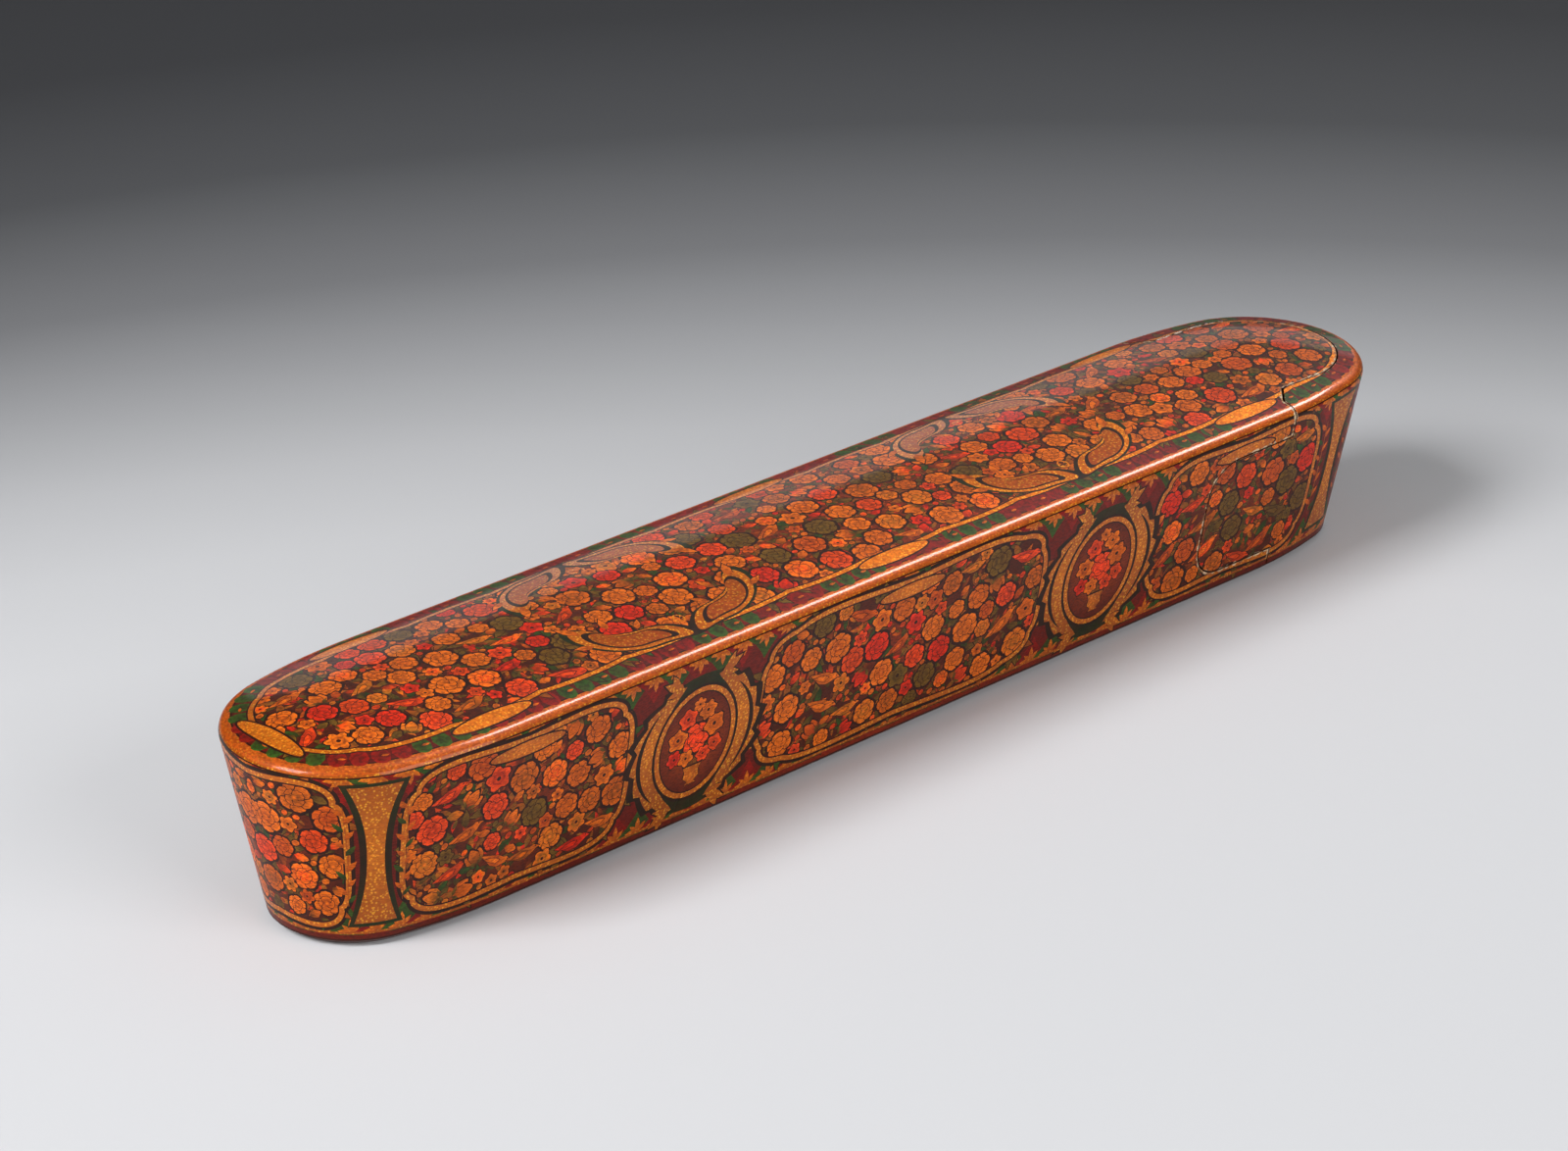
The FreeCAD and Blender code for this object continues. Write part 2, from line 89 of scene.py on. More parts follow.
HALF_WIDTH = RIM_WIDTH / 2
NOSE_X = RIM_LENGTH / 2 - NOSE_RADIUS
FLANK_Y = HALF_WIDTH - FLANK_RADIUS
FLANK_X = NOSE_X - math.sqrt((FLANK_RADIUS - NOSE_RADIUS) ** 2 - FLANK_Y**2)
FLANK_ANGLE = math.pi / 2 - math.atan2(-FLANK_Y, NOSE_X - FLANK_X)
FLANK_RUN = (FLANK_RADIUS - UNROLL_DEPTH) * FLANK_ANGLE
NOSE_RUN = (NOSE_RADIUS - UNROLL_DEPTH) * (math.pi / 2 - FLANK_ANGLE)
QUARTER = FLANK_X + FLANK_RUN + NOSE_RUN
CROWN_RADIUS = (NOSE_RADIUS**2 + CROWN_RISE**2) / (2 * CROWN_RISE)
CROWN_Z = RIM_HEIGHT + CROWN_RISE - CROWN_RADIUS
LEAN = math.atan2(WALL_LEAN, RIM_HEIGHT)


def rim_centre():
    """Depth and height of the centre of the rim's rounding."""
    slope = math.tan(LEAN)
    across = WALL_LEAN + RIM_ROUNDING / math.cos(LEAN) - NOSE_RADIUS
    a = 1 + slope**2
    b = across * slope + CROWN_Z
    c = across**2 + CROWN_Z**2 - (CROWN_RADIUS - RIM_ROUNDING) ** 2
    z = (b + math.sqrt(b**2 - a * c)) / a
    return WALL_LEAN * (1 - z / RIM_HEIGHT) + RIM_ROUNDING / math.cos(LEAN), z


RIM_D, RIM_Z = rim_centre()
RIM_FIRST = math.pi + LEAN
RIM_LAST = math.atan2(RIM_Z - CROWN_Z, RIM_D - NOSE_RADIUS)
WALL_END = (RIM_Z - RIM_ROUNDING * math.sin(LEAN)) / math.cos(LEAN)
WALL_START = FOOT_BEVEL / math.cos(LEAN)
WALL_TOP = WALL_END + (RIM_FIRST - RIM_LAST) * RIM_ROUNDING
DOME_DEPTH = RIM_D + RIM_ROUNDING * math.cos(RIM_LAST)


# The unrolled outside

def outline_at(s):
    """Centre, radius and outward direction of the box's outline, along its length."""
    s = (np.asarray(s, float) + QUARTER) % (4 * QUARTER) - QUARTER
    back = s > QUARTER
    s = np.where(back, 2 * QUARTER - s, s)
    side = np.where(s < 0, -1.0, 1.0)
    run = np.abs(s)
    on_flank = (run > FLANK_X) & (run <= FLANK_X + FLANK_RUN)
    on_nose = run > FLANK_X + FLANK_RUN
    flank_turn = (run - FLANK_X) / (FLANK_RADIUS - UNROLL_DEPTH)
    nose_turn = FLANK_ANGLE + (run - FLANK_X - FLANK_RUN) / (NOSE_RADIUS - UNROLL_DEPTH)
    turn = np.where(on_nose, nose_turn, np.where(on_flank, flank_turn, 0.0))
    x = np.where(on_nose, side * NOSE_X, np.where(on_flank, side * FLANK_X, s))
    y = np.where(on_flank, -FLANK_Y, 0.0)
    radius = np.where(on_nose, NOSE_RADIUS, np.where(on_flank, FLANK_RADIUS, HALF_WIDTH))
    flip = np.where(back, -1.0, 1.0)
    return x, y * flip, radius, side * np.sin(turn), -np.cos(turn) * flip


def wall_profile(t):
    """Depth, height and outward normal along the wall and round the rim."""
    t = np.asarray(t, float)
    angle = RIM_FIRST - np.clip(t - WALL_END, 0, None) / RIM_ROUNDING
    round_part = t > WALL_END
    depth = np.where(round_part, RIM_D + RIM_ROUNDING * np.cos(angle),
                     WALL_LEAN - t * math.sin(LEAN))
    z = np.where(round_part, RIM_Z + RIM_ROUNDING * np.sin(angle), t * math.cos(LEAN))
    return depth, z, -np.cos(angle), np.sin(angle)


def wall_to_space(points):
    """Places and normals of wall points (length along the outline, height up the wall)."""
    x, y, radius, ux, uy = outline_at(points[:, 0])
    depth, z, out, up = wall_profile(points[:, 1])
    places = np.stack([x + (radius - depth) * ux, y + (radius - depth) * uy, z], axis=1)
    return places, np.stack([out * ux, out * uy, up], axis=1)


def top_to_space(points):
    """Places and normals of points of the domed top, given in plan."""
    x, y = points[:, 0], points[:, 1]
    run = np.abs(x)
    side = np.sign(x)
    half = np.sign(y)
    nose = np.arctan2(np.abs(y), run - NOSE_X) < math.pi / 2 - FLANK_ANGLE
    flank = (run > FLANK_X) & ~nose
    cx = np.where(nose, NOSE_X, np.where(flank, FLANK_X, run))
    cy = np.where(flank, FLANK_Y, 0.0)
    radius = np.where(nose, NOSE_RADIUS, np.where(flank, FLANK_RADIUS, HALF_WIDTH))
    away_x, away_y = run - cx, np.abs(y) - cy
    away = np.maximum(np.hypot(away_x, away_y), 1e-9)
    short = np.clip(NOSE_RADIUS - (radius - away), 0, None)
    drop = np.sqrt(CROWN_RADIUS**2 - short**2)
    slope = short / drop
    normal = np.stack([slope * side * away_x / away, slope * half * away_y / away,
                       np.ones_like(x)], axis=1)
    normal /= np.linalg.norm(normal, axis=1)[:, None]
    return np.stack([x, y, CROWN_Z + drop], axis=1), normal


def along_wall(x, depth):
    """Length along the outline of the place at +X with this x, at a depth."""
    if x <= FLANK_X:
        return x
    turn = math.asin((x - FLANK_X) / (FLANK_RADIUS - depth))
    return FLANK_X + turn * (FLANK_RADIUS - UNROLL_DEPTH)


def up_wall(z):
    """Height up the leaning wall of a height above the floor."""
    return z / math.cos(LEAN)


# Colours

def linear(red, green, blue):
    """Linear colour from the usual 0 to 255 values."""
    parts = [c / 255 for c in (red, green, blue)]
    return tuple(c / 12.92 if c <= 0.04045 else ((c + 0.055) / 1.055) ** 2.4 for c in parts)


INK = linear(30, 14, 8)
GROUND = linear(66, 28, 9)
SMOKE = linear(24, 22, 10)
GOLD = linear(214, 128, 30)
GOLD_DEEP = linear(150, 84, 20)
AMBER = linear(206, 112, 24)
HONEY = linear(232, 146, 44)
ORANGE = linear(226, 92, 20)
VERMILION = linear(224, 58, 18)
ROSE_PINK = linear(240, 96, 44)
CRIMSON = linear(132, 20, 14)
WINE = linear(84, 16, 12)
OLIVE = linear(112, 104, 52)
OLIVE_DARK = linear(54, 56, 28)
GREEN = linear(46, 104, 58)
GREEN_DARK = linear(20, 50, 30)
BAND = linear(124, 44, 16)
# Pale wear along the seam, partly painted highlight on the seam's edges
WORN_AND_HIGHLIGHT = linear(232, 200, 160)
WORN_AMBER_AND_HIGHLIGHT = linear(206, 152, 100)
FIELD_WARM = linear(118, 52, 12)
RIM_GOLD = linear(176, 96, 40)

PETALS = [
    (BAND, HONEY), (GOLD_DEEP, HONEY), (BAND, AMBER), (GOLD_DEEP, HONEY), (BAND, ORANGE),
    (CRIMSON, ROSE_PINK), (CRIMSON, VERMILION), (GOLD_DEEP, GOLD), (VERMILION, HONEY),
    (OLIVE_DARK, GOLD), (OLIVE_DARK, OLIVE), (OLIVE, HONEY),
]
LEAVES = [(OLIVE_DARK, OLIVE), (GREEN_DARK, GREEN), (OLIVE, GOLD_DEEP), (GREEN_DARK, OLIVE)]
CARPET = [(GROUND, GOLD_DEEP), (OLIVE_DARK, OLIVE), (CRIMSON, VERMILION), (GROUND, AMBER),
          (INK, GOLD_DEEP), (OLIVE, GOLD), (GROUND, ORANGE), (SMOKE, OLIVE)]


# Drawing

class Painting:
    """Flat shapes in drawing order, each shaded from a focus outwards."""

    def __init__(self):
        self.outlines = []
        self.shading = []

    def add(self, points, inner, outer=None, focus=None, reach=1.0, gold=0.0):
        """Adds a closed shape; gold: share of gold leaf, or -1 for wear and painted highlight.
        """
        points = np.asarray(points, float)
        if focus is None:
            focus = points.mean(axis=0)
        self.outlines.append(points)
        self.shading.append((*inner, *(outer or inner), *focus, reach, gold))

    def shade(self, points, colours, focus, reach, gold=0.0):
        """Adds a shape that goes from the first colour at its focus to the second."""
        self.add(points, *colours, focus, reach, gold)


def spin(points, x, y, angle, size=1.0):
    """Points turned by an angle, scaled, and moved to a place."""
    points = np.asarray(points, float) * size
    c, s = math.cos(angle), math.sin(angle)
    return np.stack([x + points[:, 0] * c - points[:, 1] * s,
                     y + points[:, 0] * s + points[:, 1] * c], axis=1)


def oval(x, y, rx, ry, count=24, angle=0.0):
    steps = np.linspace(0, 2 * math.pi, count, endpoint=False)
    return spin(np.stack([rx * np.cos(steps), ry * np.sin(steps)], axis=1), x, y, angle)


def lobed(x, y, radius, lobes, depth, turn=0.0, per_lobe=4):
    """Round outline with even lobes."""
    steps = np.linspace(0, 2 * math.pi, lobes * per_lobe, endpoint=False)
    radii = radius * (1 - depth + depth * np.abs(np.cos(lobes * (steps - turn) / 2)) * 1.6)
    return np.stack([x + radii * np.cos(steps), y + radii * np.sin(steps)], axis=1)


LEAF_FORM = [(0, 0), (0.3, 0.2), (0.65, 0.2), (1.05, 0.04), (0.65, -0.15), (0.25, -0.16)]
BUD_FORM = [(0, 0), (0.25, 0.24), (0.6, 0.30), (0.9, 0.12), (1.0, 0.0),
            (0.9, -0.12), (0.6, -0.30), (0.25, -0.24)]
BIRD_BODY = [(-1.0, 0.05), (-0.45, 0.22), (0.1, 0.36), (0.5, 0.34), (0.72, 0.42),
             (0.92, 0.34), (1.12, 0.24), (0.90, 0.16), (0.70, -0.02), (0.35, -0.26),
             (-0.1, -0.30), (-0.5, -0.14)]
BIRD_WING = [(0.42, 0.16), (0.1, 0.20), (-0.35, 0.10), (-0.85, -0.12), (-0.3, -0.16),
             (0.2, -0.12)]


def leaf(art, x, y, length, angle, colours, outline=True):
    if outline:
        art.add(spin(LEAF_FORM, x, y, angle, length * 1.12), INK)
    art.shade(spin(LEAF_FORM, x, y, angle, length), colours, (x, y), length)


def bud(art, x, y, length, angle, colours):
    art.add(spin(BUD_FORM, x, y, angle, length * 1.15), INK)
    art.shade(spin(BUD_FORM, x, y, angle, length), colours, (x, y), length)


def blossom(art, x, y, radius, colours, rng):
    """Small flower with five or six petals and a bright heart."""
    turn = rng.uniform(0, math.pi)
    petals = rng.choice((5, 6))
    art.add(lobed(x, y, radius * 1.1, petals, 0.24, turn), INK)
    art.shade(lobed(x, y, radius * 0.96, petals, 0.26, turn), colours, (x, y), radius)
    if radius > 1.2:
        heart = lobed(x, y, radius * 0.52, petals, 0.2, turn + math.pi / petals, 3)
        art.shade(heart, colours[::-1], (x, y), radius * 0.6)
    art.add(oval(x, y, radius * 0.2, radius * 0.2, 6), INK)


def rose(art, x, y, radius, colours, rng):
    """Full flower with two rings of cupped petals round a tight heart."""
    turn = rng.uniform(0, math.pi)
    art.add(lobed(x, y, radius * 1.08, 6, 0.12, turn, 3), INK)
    for ring, (count, out, size) in enumerate(((6, 0.60, 0.46), (4, 0.28, 0.36))):
        wide = radius * size
        for k in range(count):
            angle = turn + ring * 0.5 + k * 2 * math.pi / count
            px = x + radius * out * math.cos(angle)
            py = y + radius * out * math.sin(angle)
            art.add(oval(px, py, wide * 0.86, wide * 1.08, 8, angle), INK)
            art.shade(oval(px, py, wide * 0.74, wide * 0.96, 8, angle), colours, (x, y),
                      radius * (0.98 - 0.35 * ring))
    art.shade(oval(x, y, radius * 0.22, radius * 0.18, 7, turn), colours[::-1], (x, y),
              radius * 0.3)


def tulip(art, x, y, radius, colours, angle):
    """Flower seen from the side: a cup of three petals on two sepals."""
    base_x = x - radius * 0.8 * math.cos(angle)
    base_y = y - radius * 0.8 * math.sin(angle)
    for lean in (-0.5, 0.5, 0.0):
        bud(art, base_x, base_y, radius * (1.7 if lean else 1.85), angle + lean, colours)
    for lean in (-0.95, 0.95):
        leaf(art, base_x, base_y, radius * 0.9, angle + lean, LEAVES[0], outline=False)


def bird(art, x, y, size, colours, angle):
    """Small songbird among the flowers."""
    art.add(spin(BIRD_BODY, x, y, angle, size * 1.1), INK)
    art.shade(spin(BIRD_BODY, x, y, angle, size), colours, (x, y), size)
    art.add(spin(BIRD_WING, x, y, angle, size), INK)
    art.shade(spin(BIRD_WING, x, y, angle, size * 0.84), colours[::-1], (x, y), size)
    eye = spin([(0.86, 0.30)], x, y, angle, size)[0]
    art.add(oval(*eye, size * 0.05, size * 0.05, 5), INK)


def ribbon(line, width, closed=False):
    """Both edges of a thin band along a line, narrower at open ends."""
    line = np.asarray(line, float)
    if closed:
        way = np.roll(line, -1, axis=0) - np.roll(line, 1, axis=0)
    else:
        way = np.gradient(line, axis=0)
    way /= np.maximum(np.linalg.norm(way, axis=1), 1e-9)[:, None]
    side = np.stack([-way[:, 1], way[:, 0]], axis=1) * width / 2
    if not closed:
        side[[0, -1]] *= 0.25
    return line + side, line - side


def area(points):
    x, y = points[:, 0], points[:, 1]
    return abs(np.dot(x, np.roll(y, 1)) - np.dot(y, np.roll(x, 1))) / 2


def band_rims(line, width):
    """Outer and inner outline of a closed band."""
    return sorted(ribbon(line, width, closed=True), key=area, reverse=True)


def stroke(art, line, width, colour, gold=0.0):
    """Thin painted line."""
    left, right = ribbon(line, width)
    art.add(np.concatenate([left, right[::-1]]), colour, gold=gold)


def gold_frame(art, line, dark_width, gold_width):
    """Gold line on a dark one, all the way round, laid over what is already painted."""
    half = len(line) // 2
    halves = (np.arange(0, half + 1), np.arange(half, len(line) + 1) % len(line))
    for width, colour, gold in ((dark_width, INK, 0.0), (gold_width, GOLD, 1.0)):
        left, right = ribbon(line, width, closed=True)
        for part in halves:
            art.add(np.concatenate([left[part], right[part][::-1]]), colour, gold=gold)


def scroll(art, x, y, size, angle, turn):
    """Gold spiral tendril with small leaves."""
    steps = np.linspace(0, 1, 12)
    radii = size * (1 - 0.82 * steps)
    angles = turn * steps * 4.6
    line = np.stack([radii * np.cos(angles) - size, radii * np.sin(angles)], axis=1)
    line = spin(line, x, y, angle)
    stroke(art, line, size * 0.16, GOLD, gold=1.0)
    for k in (2, 4, 6):
        way = line[k + 1] - line[k]
        out = math.atan2(way[1], way[0]) + turn * 1.1
        art.add(spin(LEAF_FORM, *line[k], out, size * 0.42), GOLD, gold=1.0)


def inside(points, outline):
    """Which points lie inside a closed outline."""
    x, y = points[:, 0][:, None], points[:, 1][:, None]
    x1, y1 = outline[:, 0][None, :], outline[:, 1][None, :]
    x2, y2 = np.roll(x1, -1, axis=1), np.roll(y1, -1, axis=1)
    crosses = (y1 > y) != (y2 > y)
    with np.errstate(divide="ignore", invalid="ignore"):
        at = (x2 - x1) * (y - y1) / (y2 - y1) + x1
    return (crosses & (x < at)).sum(axis=1) % 2 == 1


def scatter(allowed, box, sizes, rng):
    """Places for motifs, large ones first, none nearer than their sizes allow."""
    x1, y1, x2, y2 = box
    placed = []
    for radius, tries, squeeze in sizes:
        spots = np.array([(rng.uniform(x1, x2), rng.uniform(y1, y2)) for _ in range(tries)])
        for x, y in spots[allowed(spots, radius)]:
            size = radius * rng.uniform(0.88, 1.15)
            if placed:
                near = np.array(placed)
                gap = np.hypot(near[:, 0] - x, near[:, 1] - y) - near[:, 2] * squeeze
                if gap.min() < size * squeeze:
                    continue
            placed.append((x, y, size))
    return placed


# Flowers of a dense field: radius, tries per square millimetre, and how far they keep apart
FLOWER_SIZES = ((2.6, 0.2, 0.95), (1.9, 0.6, 0.92), (1.3, 1.2, 0.92), (0.8, 1.2, 0.95))
LARGE, MIDDLING, SMALL = 2.2, 1.6, 1.1
CARPET_DENSITY = 0.36
CARPET_MARGIN = 2.2
WARM_SHARE = 1.0


def thousand_flowers(art, outline, box, rng):
    """Dense field of roses, birds, buds and leaves inside an outline."""
    def allowed(spots, radius):
        ok = inside(spots, outline)
        for angle in np.linspace(0, 2 * math.pi, 6, endpoint=False):
            reach = radius * 0.75
            ok &= inside(spots + reach * np.array([math.cos(angle), math.sin(angle)]), outline)
        return ok

    span = (box[2] - box[0]) * (box[3] - box[1])
    carpet = np.array([(rng.uniform(box[0], box[2]), rng.uniform(box[1], box[3]))
                       for _ in range(int(span * CARPET_DENSITY))])
    for x, y in carpet[allowed(carpet, CARPET_MARGIN)]:
        leaf(art, x, y, rng.uniform(1.6, 2.9), rng.uniform(0, 2 * math.pi),
             rng.choice(CARPET), outline=False)
    sizes = [(radius, int(span * tries), apart) for radius, tries, apart in FLOWER_SIZES]
    spots = scatter(allowed, box, sizes, rng)
    for x, y, size in spots:
        for _ in range(3 if size > MIDDLING else 2):
            angle = rng.uniform(0, 2 * math.pi)
            leaf(art, x + size * 0.55 * math.cos(angle), y + size * 0.55 * math.sin(angle),
                 size * 1.15 + 0.5, angle, rng.choice(LEAVES))
    for x, y, size in spots:
        colours = rng.choice(PETALS if rng.random() < WARM_SHARE else LEAVES)
        kind = rng.random()
        if size > LARGE and kind < 0.2:
            bird(art, x, y, size * 1.25, colours, rng.uniform(-0.6, 0.6))
        elif size > LARGE:
            rose(art, x, y, size * 1.02, colours, rng)
        elif size > MIDDLING and kind < 0.5:
            rose(art, x, y, size, colours, rng)
        elif size > MIDDLING and kind < 0.75:
            tulip(art, x, y, size, colours, rng.uniform(0, 2 * math.pi))
        elif size > MIDDLING or size > SMALL and kind < 0.6:
            blossom(art, x, y, size, colours, rng)
        elif size > SMALL:
            bud(art, x - size, y, size * 2, rng.uniform(-1, 1), colours)
        else:
            art.add(oval(x, y, size, size * 0.86, 7, kind), INK)
            art.shade(oval(x, y, size * 0.8, size * 0.66, 7, kind), colours, (x, y), size)


# Layout of the long sides

# Places along the front, in millimetres from the middle
MEDALLIONS = (-47.9, 43.1)
PANELS = ((-104.6, -61.8), (-34.7, 28.9), (55.6, 97.2))
WAISTS = (-108.9, 103.6)
END_PANEL = 14.5
FIELD_LOW = up_wall(2.9)
FIELD_HIGH = WALL_END + 0.9
PANEL_LOW = up_wall(3.6)
PANEL_HIGH = WALL_END + 0.3
SQUARENESS = 0.42
NOTCH = 0.9
LONG_PANEL = 35


def cartouche_form(x1, x2, y1, y2, lobes):
    """Lobed panel outline with pointed ends."""
    cx, cy = (x1 + x2) / 2, (y1 + y2) / 2
    a, b = (x2 - x1) / 2, (y2 - y1) / 2
    steps = np.linspace(0, 2 * math.pi, 96, endpoint=False)
    c, s = np.cos(steps), np.sin(steps)
    x = a * np.sign(c) * np.abs(c) ** SQUARENESS
    y = b * np.sign(s) * np.abs(s) ** SQUARENESS
    notch = NOTCH * (1 - np.abs(np.sin(steps * lobes + lobes * math.pi / 2)) ** 0.6)
    length = np.maximum(np.hypot(x, y), 1e-9)
    return np.stack([cx + x - notch * x / length, cy + y - notch * y / length], axis=1)


def framed_panel(art, x1, x2, rng):
    """Panel of dense flowers inside a gold line with dark edges."""
    outline = cartouche_form(x1, x2, PANEL_LOW, PANEL_HIGH, 5 if x2 - x1 > 50 else 3)
    centre = outline.mean(axis=0)
    art.add(band_rims(outline, 2.2)[0], SMOKE)
    art.add(outline, FIELD_WARM, GROUND, focus=centre, reach=14)
    thousand_flowers(art, outline, (x1, PANEL_LOW, x2, PANEL_HIGH), rng)
    gold_frame(art, outline, 1.45, 0.9)
    if x2 - x1 > LONG_PANEL:
        tablet = (centre[0], PANEL_HIGH - 2.6)
        art.add(oval(*tablet, 7.6, 1.6), INK)
        art.shade(oval(*tablet, 7.2, 1.25), (HONEY, GOLD_DEEP), tablet, 8, gold=0.7)


def crescent(x, y, rx, ry, thick, start, end, count=18):
    """Curved leaf between two angles, thickest in the middle."""
    steps = np.linspace(start, end, count)
    bulge = np.sin((steps - start) / (end - start) * math.pi) ** 0.7
    outer = np.stack([x + rx * np.cos(steps), y + ry * np.sin(steps)], axis=1)
    inner = np.stack([x + (rx - thick * bulge) * np.cos(steps),
                      y + (ry - thick * bulge * 0.8) * np.sin(steps)], axis=1)
    return np.concatenate([outer, inner[::-1]])


def serrated(x, y, rx, ry, thick, start, end, tooth):
    """Crescent whose outer edge is cut into curled leaf tips."""
    form = crescent(x, y, rx, ry, thick, start, end, 36)
    outer = form[:36]
    out = outer - (x, y)
    out /= np.linalg.norm(out, axis=1)[:, None]
    saw = (np.arange(36) % 5) / 4
    swell = np.sin(np.linspace(0, math.pi, 36)) * 0.4 + 0.75
    form[:36] = outer + out * (saw * swell * tooth)[:, None]
    return form


# Tips at a crescent's end: distance from the root, turn and length
ACANTHUS_TIPS = ((0.0, 0.15, 1.0), (0.25, 0.75, 0.72), (0.1, -0.55, 0.66))


def acanthus_tip(art, x, y, size, angle, flip):
    """Curled leaf tips at the end of a gold crescent."""
    tips = [(x + size * along * math.cos(angle), y + size * along * math.sin(angle),
             angle + flip * turn, size * length) for along, turn, length in ACANTHUS_TIPS]
    for tip in tips:
        art.add(spin(LEAF_FORM, *tip[:3], tip[3] * 1.15), SMOKE)
    for tip in tips:
        art.shade(spin(LEAF_FORM, *tip), (GOLD_DEEP, GOLD), tip[:2], size, gold=1.0)


MEDALLION_Y = up_wall(15.7)
# Blossoms round the rose of a bouquet: place, radius and pair of petal colours
BOUQUET = ((-3.8, 1.6, 1.9, 0), (3.7, 2.2, 2.0, 7), (-2.1, 5.0, 1.8, 5), (2.0, 5.4, 1.7, 1),
           (-4.1, -1.9, 1.5, 6), (4.2, -1.6, 1.5, 4), (0.0, 7.1, 1.2, 3), (-1.6, -2.6, 1.5, 3),
           (2.0, -2.9, 1.4, 5))
CUP_FORM = [(-2.0, 2.6), (2.0, 2.6), (1.5, 1.6), (1.7, 0.4), (0.7, -0.5), (1.2, -1.0),
            (-1.2, -1.0), (-0.7, -0.5), (-1.7, 0.4), (-1.5, 1.6)]


def medallion(art, x, rng):
    """Oval bouquet in a gold ring, held between two gold acanthus crescents."""
    y = MEDALLION_Y
    for grow, colour in ((1.05, OLIVE_DARK), (1.0, SMOKE)):
        art.add(oval(x, y, 13.1 * grow, 12.2 * grow, 40), colour, GREEN_DARK, reach=14)
    for side in (-1, 1):
        middle = 0.0 if side > 0 else math.pi
        spread = (middle - 1.32, middle + 1.32)
        art.add(serrated(x + side * 0.3, y, 13.3, 12.7, 7.2, *spread, 1.3), SMOKE)
        art.shade(serrated(x + side * 0.3, y, 12.2, 12.0, 4.5, *spread, 0.9),
                  (HONEY, GOLD_DEEP), (x + side * 9.2, y + 2), 9, gold=1.0)
        art.add(crescent(x + side * 0.6, y, 11.6, 11.2, 0.9, middle - 0.9, middle + 0.9), SMOKE)
        for end in (-1, 1):
            angle = math.pi / 2 * (1 - side) + end * side * 0.35
            acanthus_tip(art, x + side * 3.8, y + end * 11.3, 4.6, angle, end * side)
    art.add(oval(x, y, 8.9, 10.9, 36), SMOKE)
    ring, field = band_rims(oval(x, y, 7.9, 9.9, 36), 0.9)
    art.add(ring, GOLD, gold=1.0)
    art.add(field, INK)
    art.shade(oval(x, y, 7.2, 9.2, 32), (linear(146, 80, 50), linear(84, 30, 20)), (x, y), 9)
    for lean in (-0.75, -0.4, -0.12, 0.2, 0.5, 0.8):
        bend = math.sin(lean)
        top = (x + 7.4 * bend * 0.8, y - 6.6 + 9.5 * math.cos(lean))
        stroke(art, [(x, y - 7.2), (x + 2.2 * bend, y - 2.0), top], 0.3, OLIVE)
        leaf(art, x + 1.7 * bend, y - 3.2, 3.1, math.pi / 2 - lean * 1.6, LEAVES[0])
        leaf(art, x + 3.0 * bend, y - 0.8, 2.6, math.pi / 2 - lean * 2.2, LEAVES[1])
    rose(art, x, y + 0.7, 3.1, (VERMILION, ROSE_PINK), rng)
    for dx, dy, size, pair in BOUQUET:
        blossom(art, x + dx, y + dy, size, PETALS[pair], rng)
    art.add(spin(CUP_FORM, x, y - 7.0, 0, 1.08), INK)
    art.shade(spin(CUP_FORM, x, y - 7.0, 0, 0.95), (HONEY, GOLD_DEEP), (x - 0.6, y - 6.2), 2.6,
              gold=0.6)


def waist_leaf(art, x):
    """Gold hourglass leaf between two panels, in a dark smoky edge."""
    y1, y2 = FIELD_LOW + 1.6, FIELD_HIGH - 1.6
    mid = (y1 + y2) / 2
    steps = np.linspace(-1, 1, 15)
    width = 1.35 + 2.5 * np.abs(steps) ** 2.2
    for grow, colours, gold in ((1.1, (SMOKE, GREEN_DARK), 0.0), (0.0, (HONEY, GOLD_DEEP), 1.0)):
        height = mid + steps * ((y2 - y1) / 2 + grow * 0.6)
        right = np.stack([x + width + grow, height], axis=1)
        left = np.stack([x - width - grow, height], axis=1)
        art.shade(np.concatenate([right, left[::-1]]), colours, (x, mid), 12, gold)


def vine(art, x, y1, y2, rng):
    """Upright run of small gold and green leaves."""
    stroke(art, [(x, y1), (x + 0.4, (y1 + y2) / 2), (x, y2)], 0.3, GOLD_DEEP, gold=0.6)
    for k, y in enumerate(np.arange(y1 + 0.6, y2 - 0.6, 1.5)):
        lean = 0.75 if k % 2 else -0.75
        colours = (GOLD_DEEP, GOLD) if k % 3 else (GREEN_DARK, GREEN)
        leaf(art, x, y, rng.uniform(1.9, 2.5), math.pi / 2 + lean, colours, outline=False)


SPANDREL_FORM = [(-1.0, 0), (-0.55, 0.35), (-0.2, 0.8), (0, 1.15), (0.2, 0.8), (0.55, 0.35),
                 (1.0, 0), (0.5, -0.15), (-0.5, -0.15)]


def spandrel(art, x, y, size, angle, green):
    """Patch of green or crimson with gold leaves, where panels leave a corner."""
    colours = (GREEN_DARK, GREEN) if green else (WINE, CRIMSON)
    art.shade(spin(SPANDREL_FORM, x, y, angle, size), colours, (x, y), size)
    for lean, length in ((0.0, 0.62), (0.85, 0.5), (-0.85, 0.5), (1.45, 0.6), (-1.45, 0.6)):
        art.shade(spin(LEAF_FORM, x, y, angle + math.pi / 2 + lean, size * length),
                  (GOLD_DEEP, GOLD), (x, y), size * 0.5, gold=0.5)


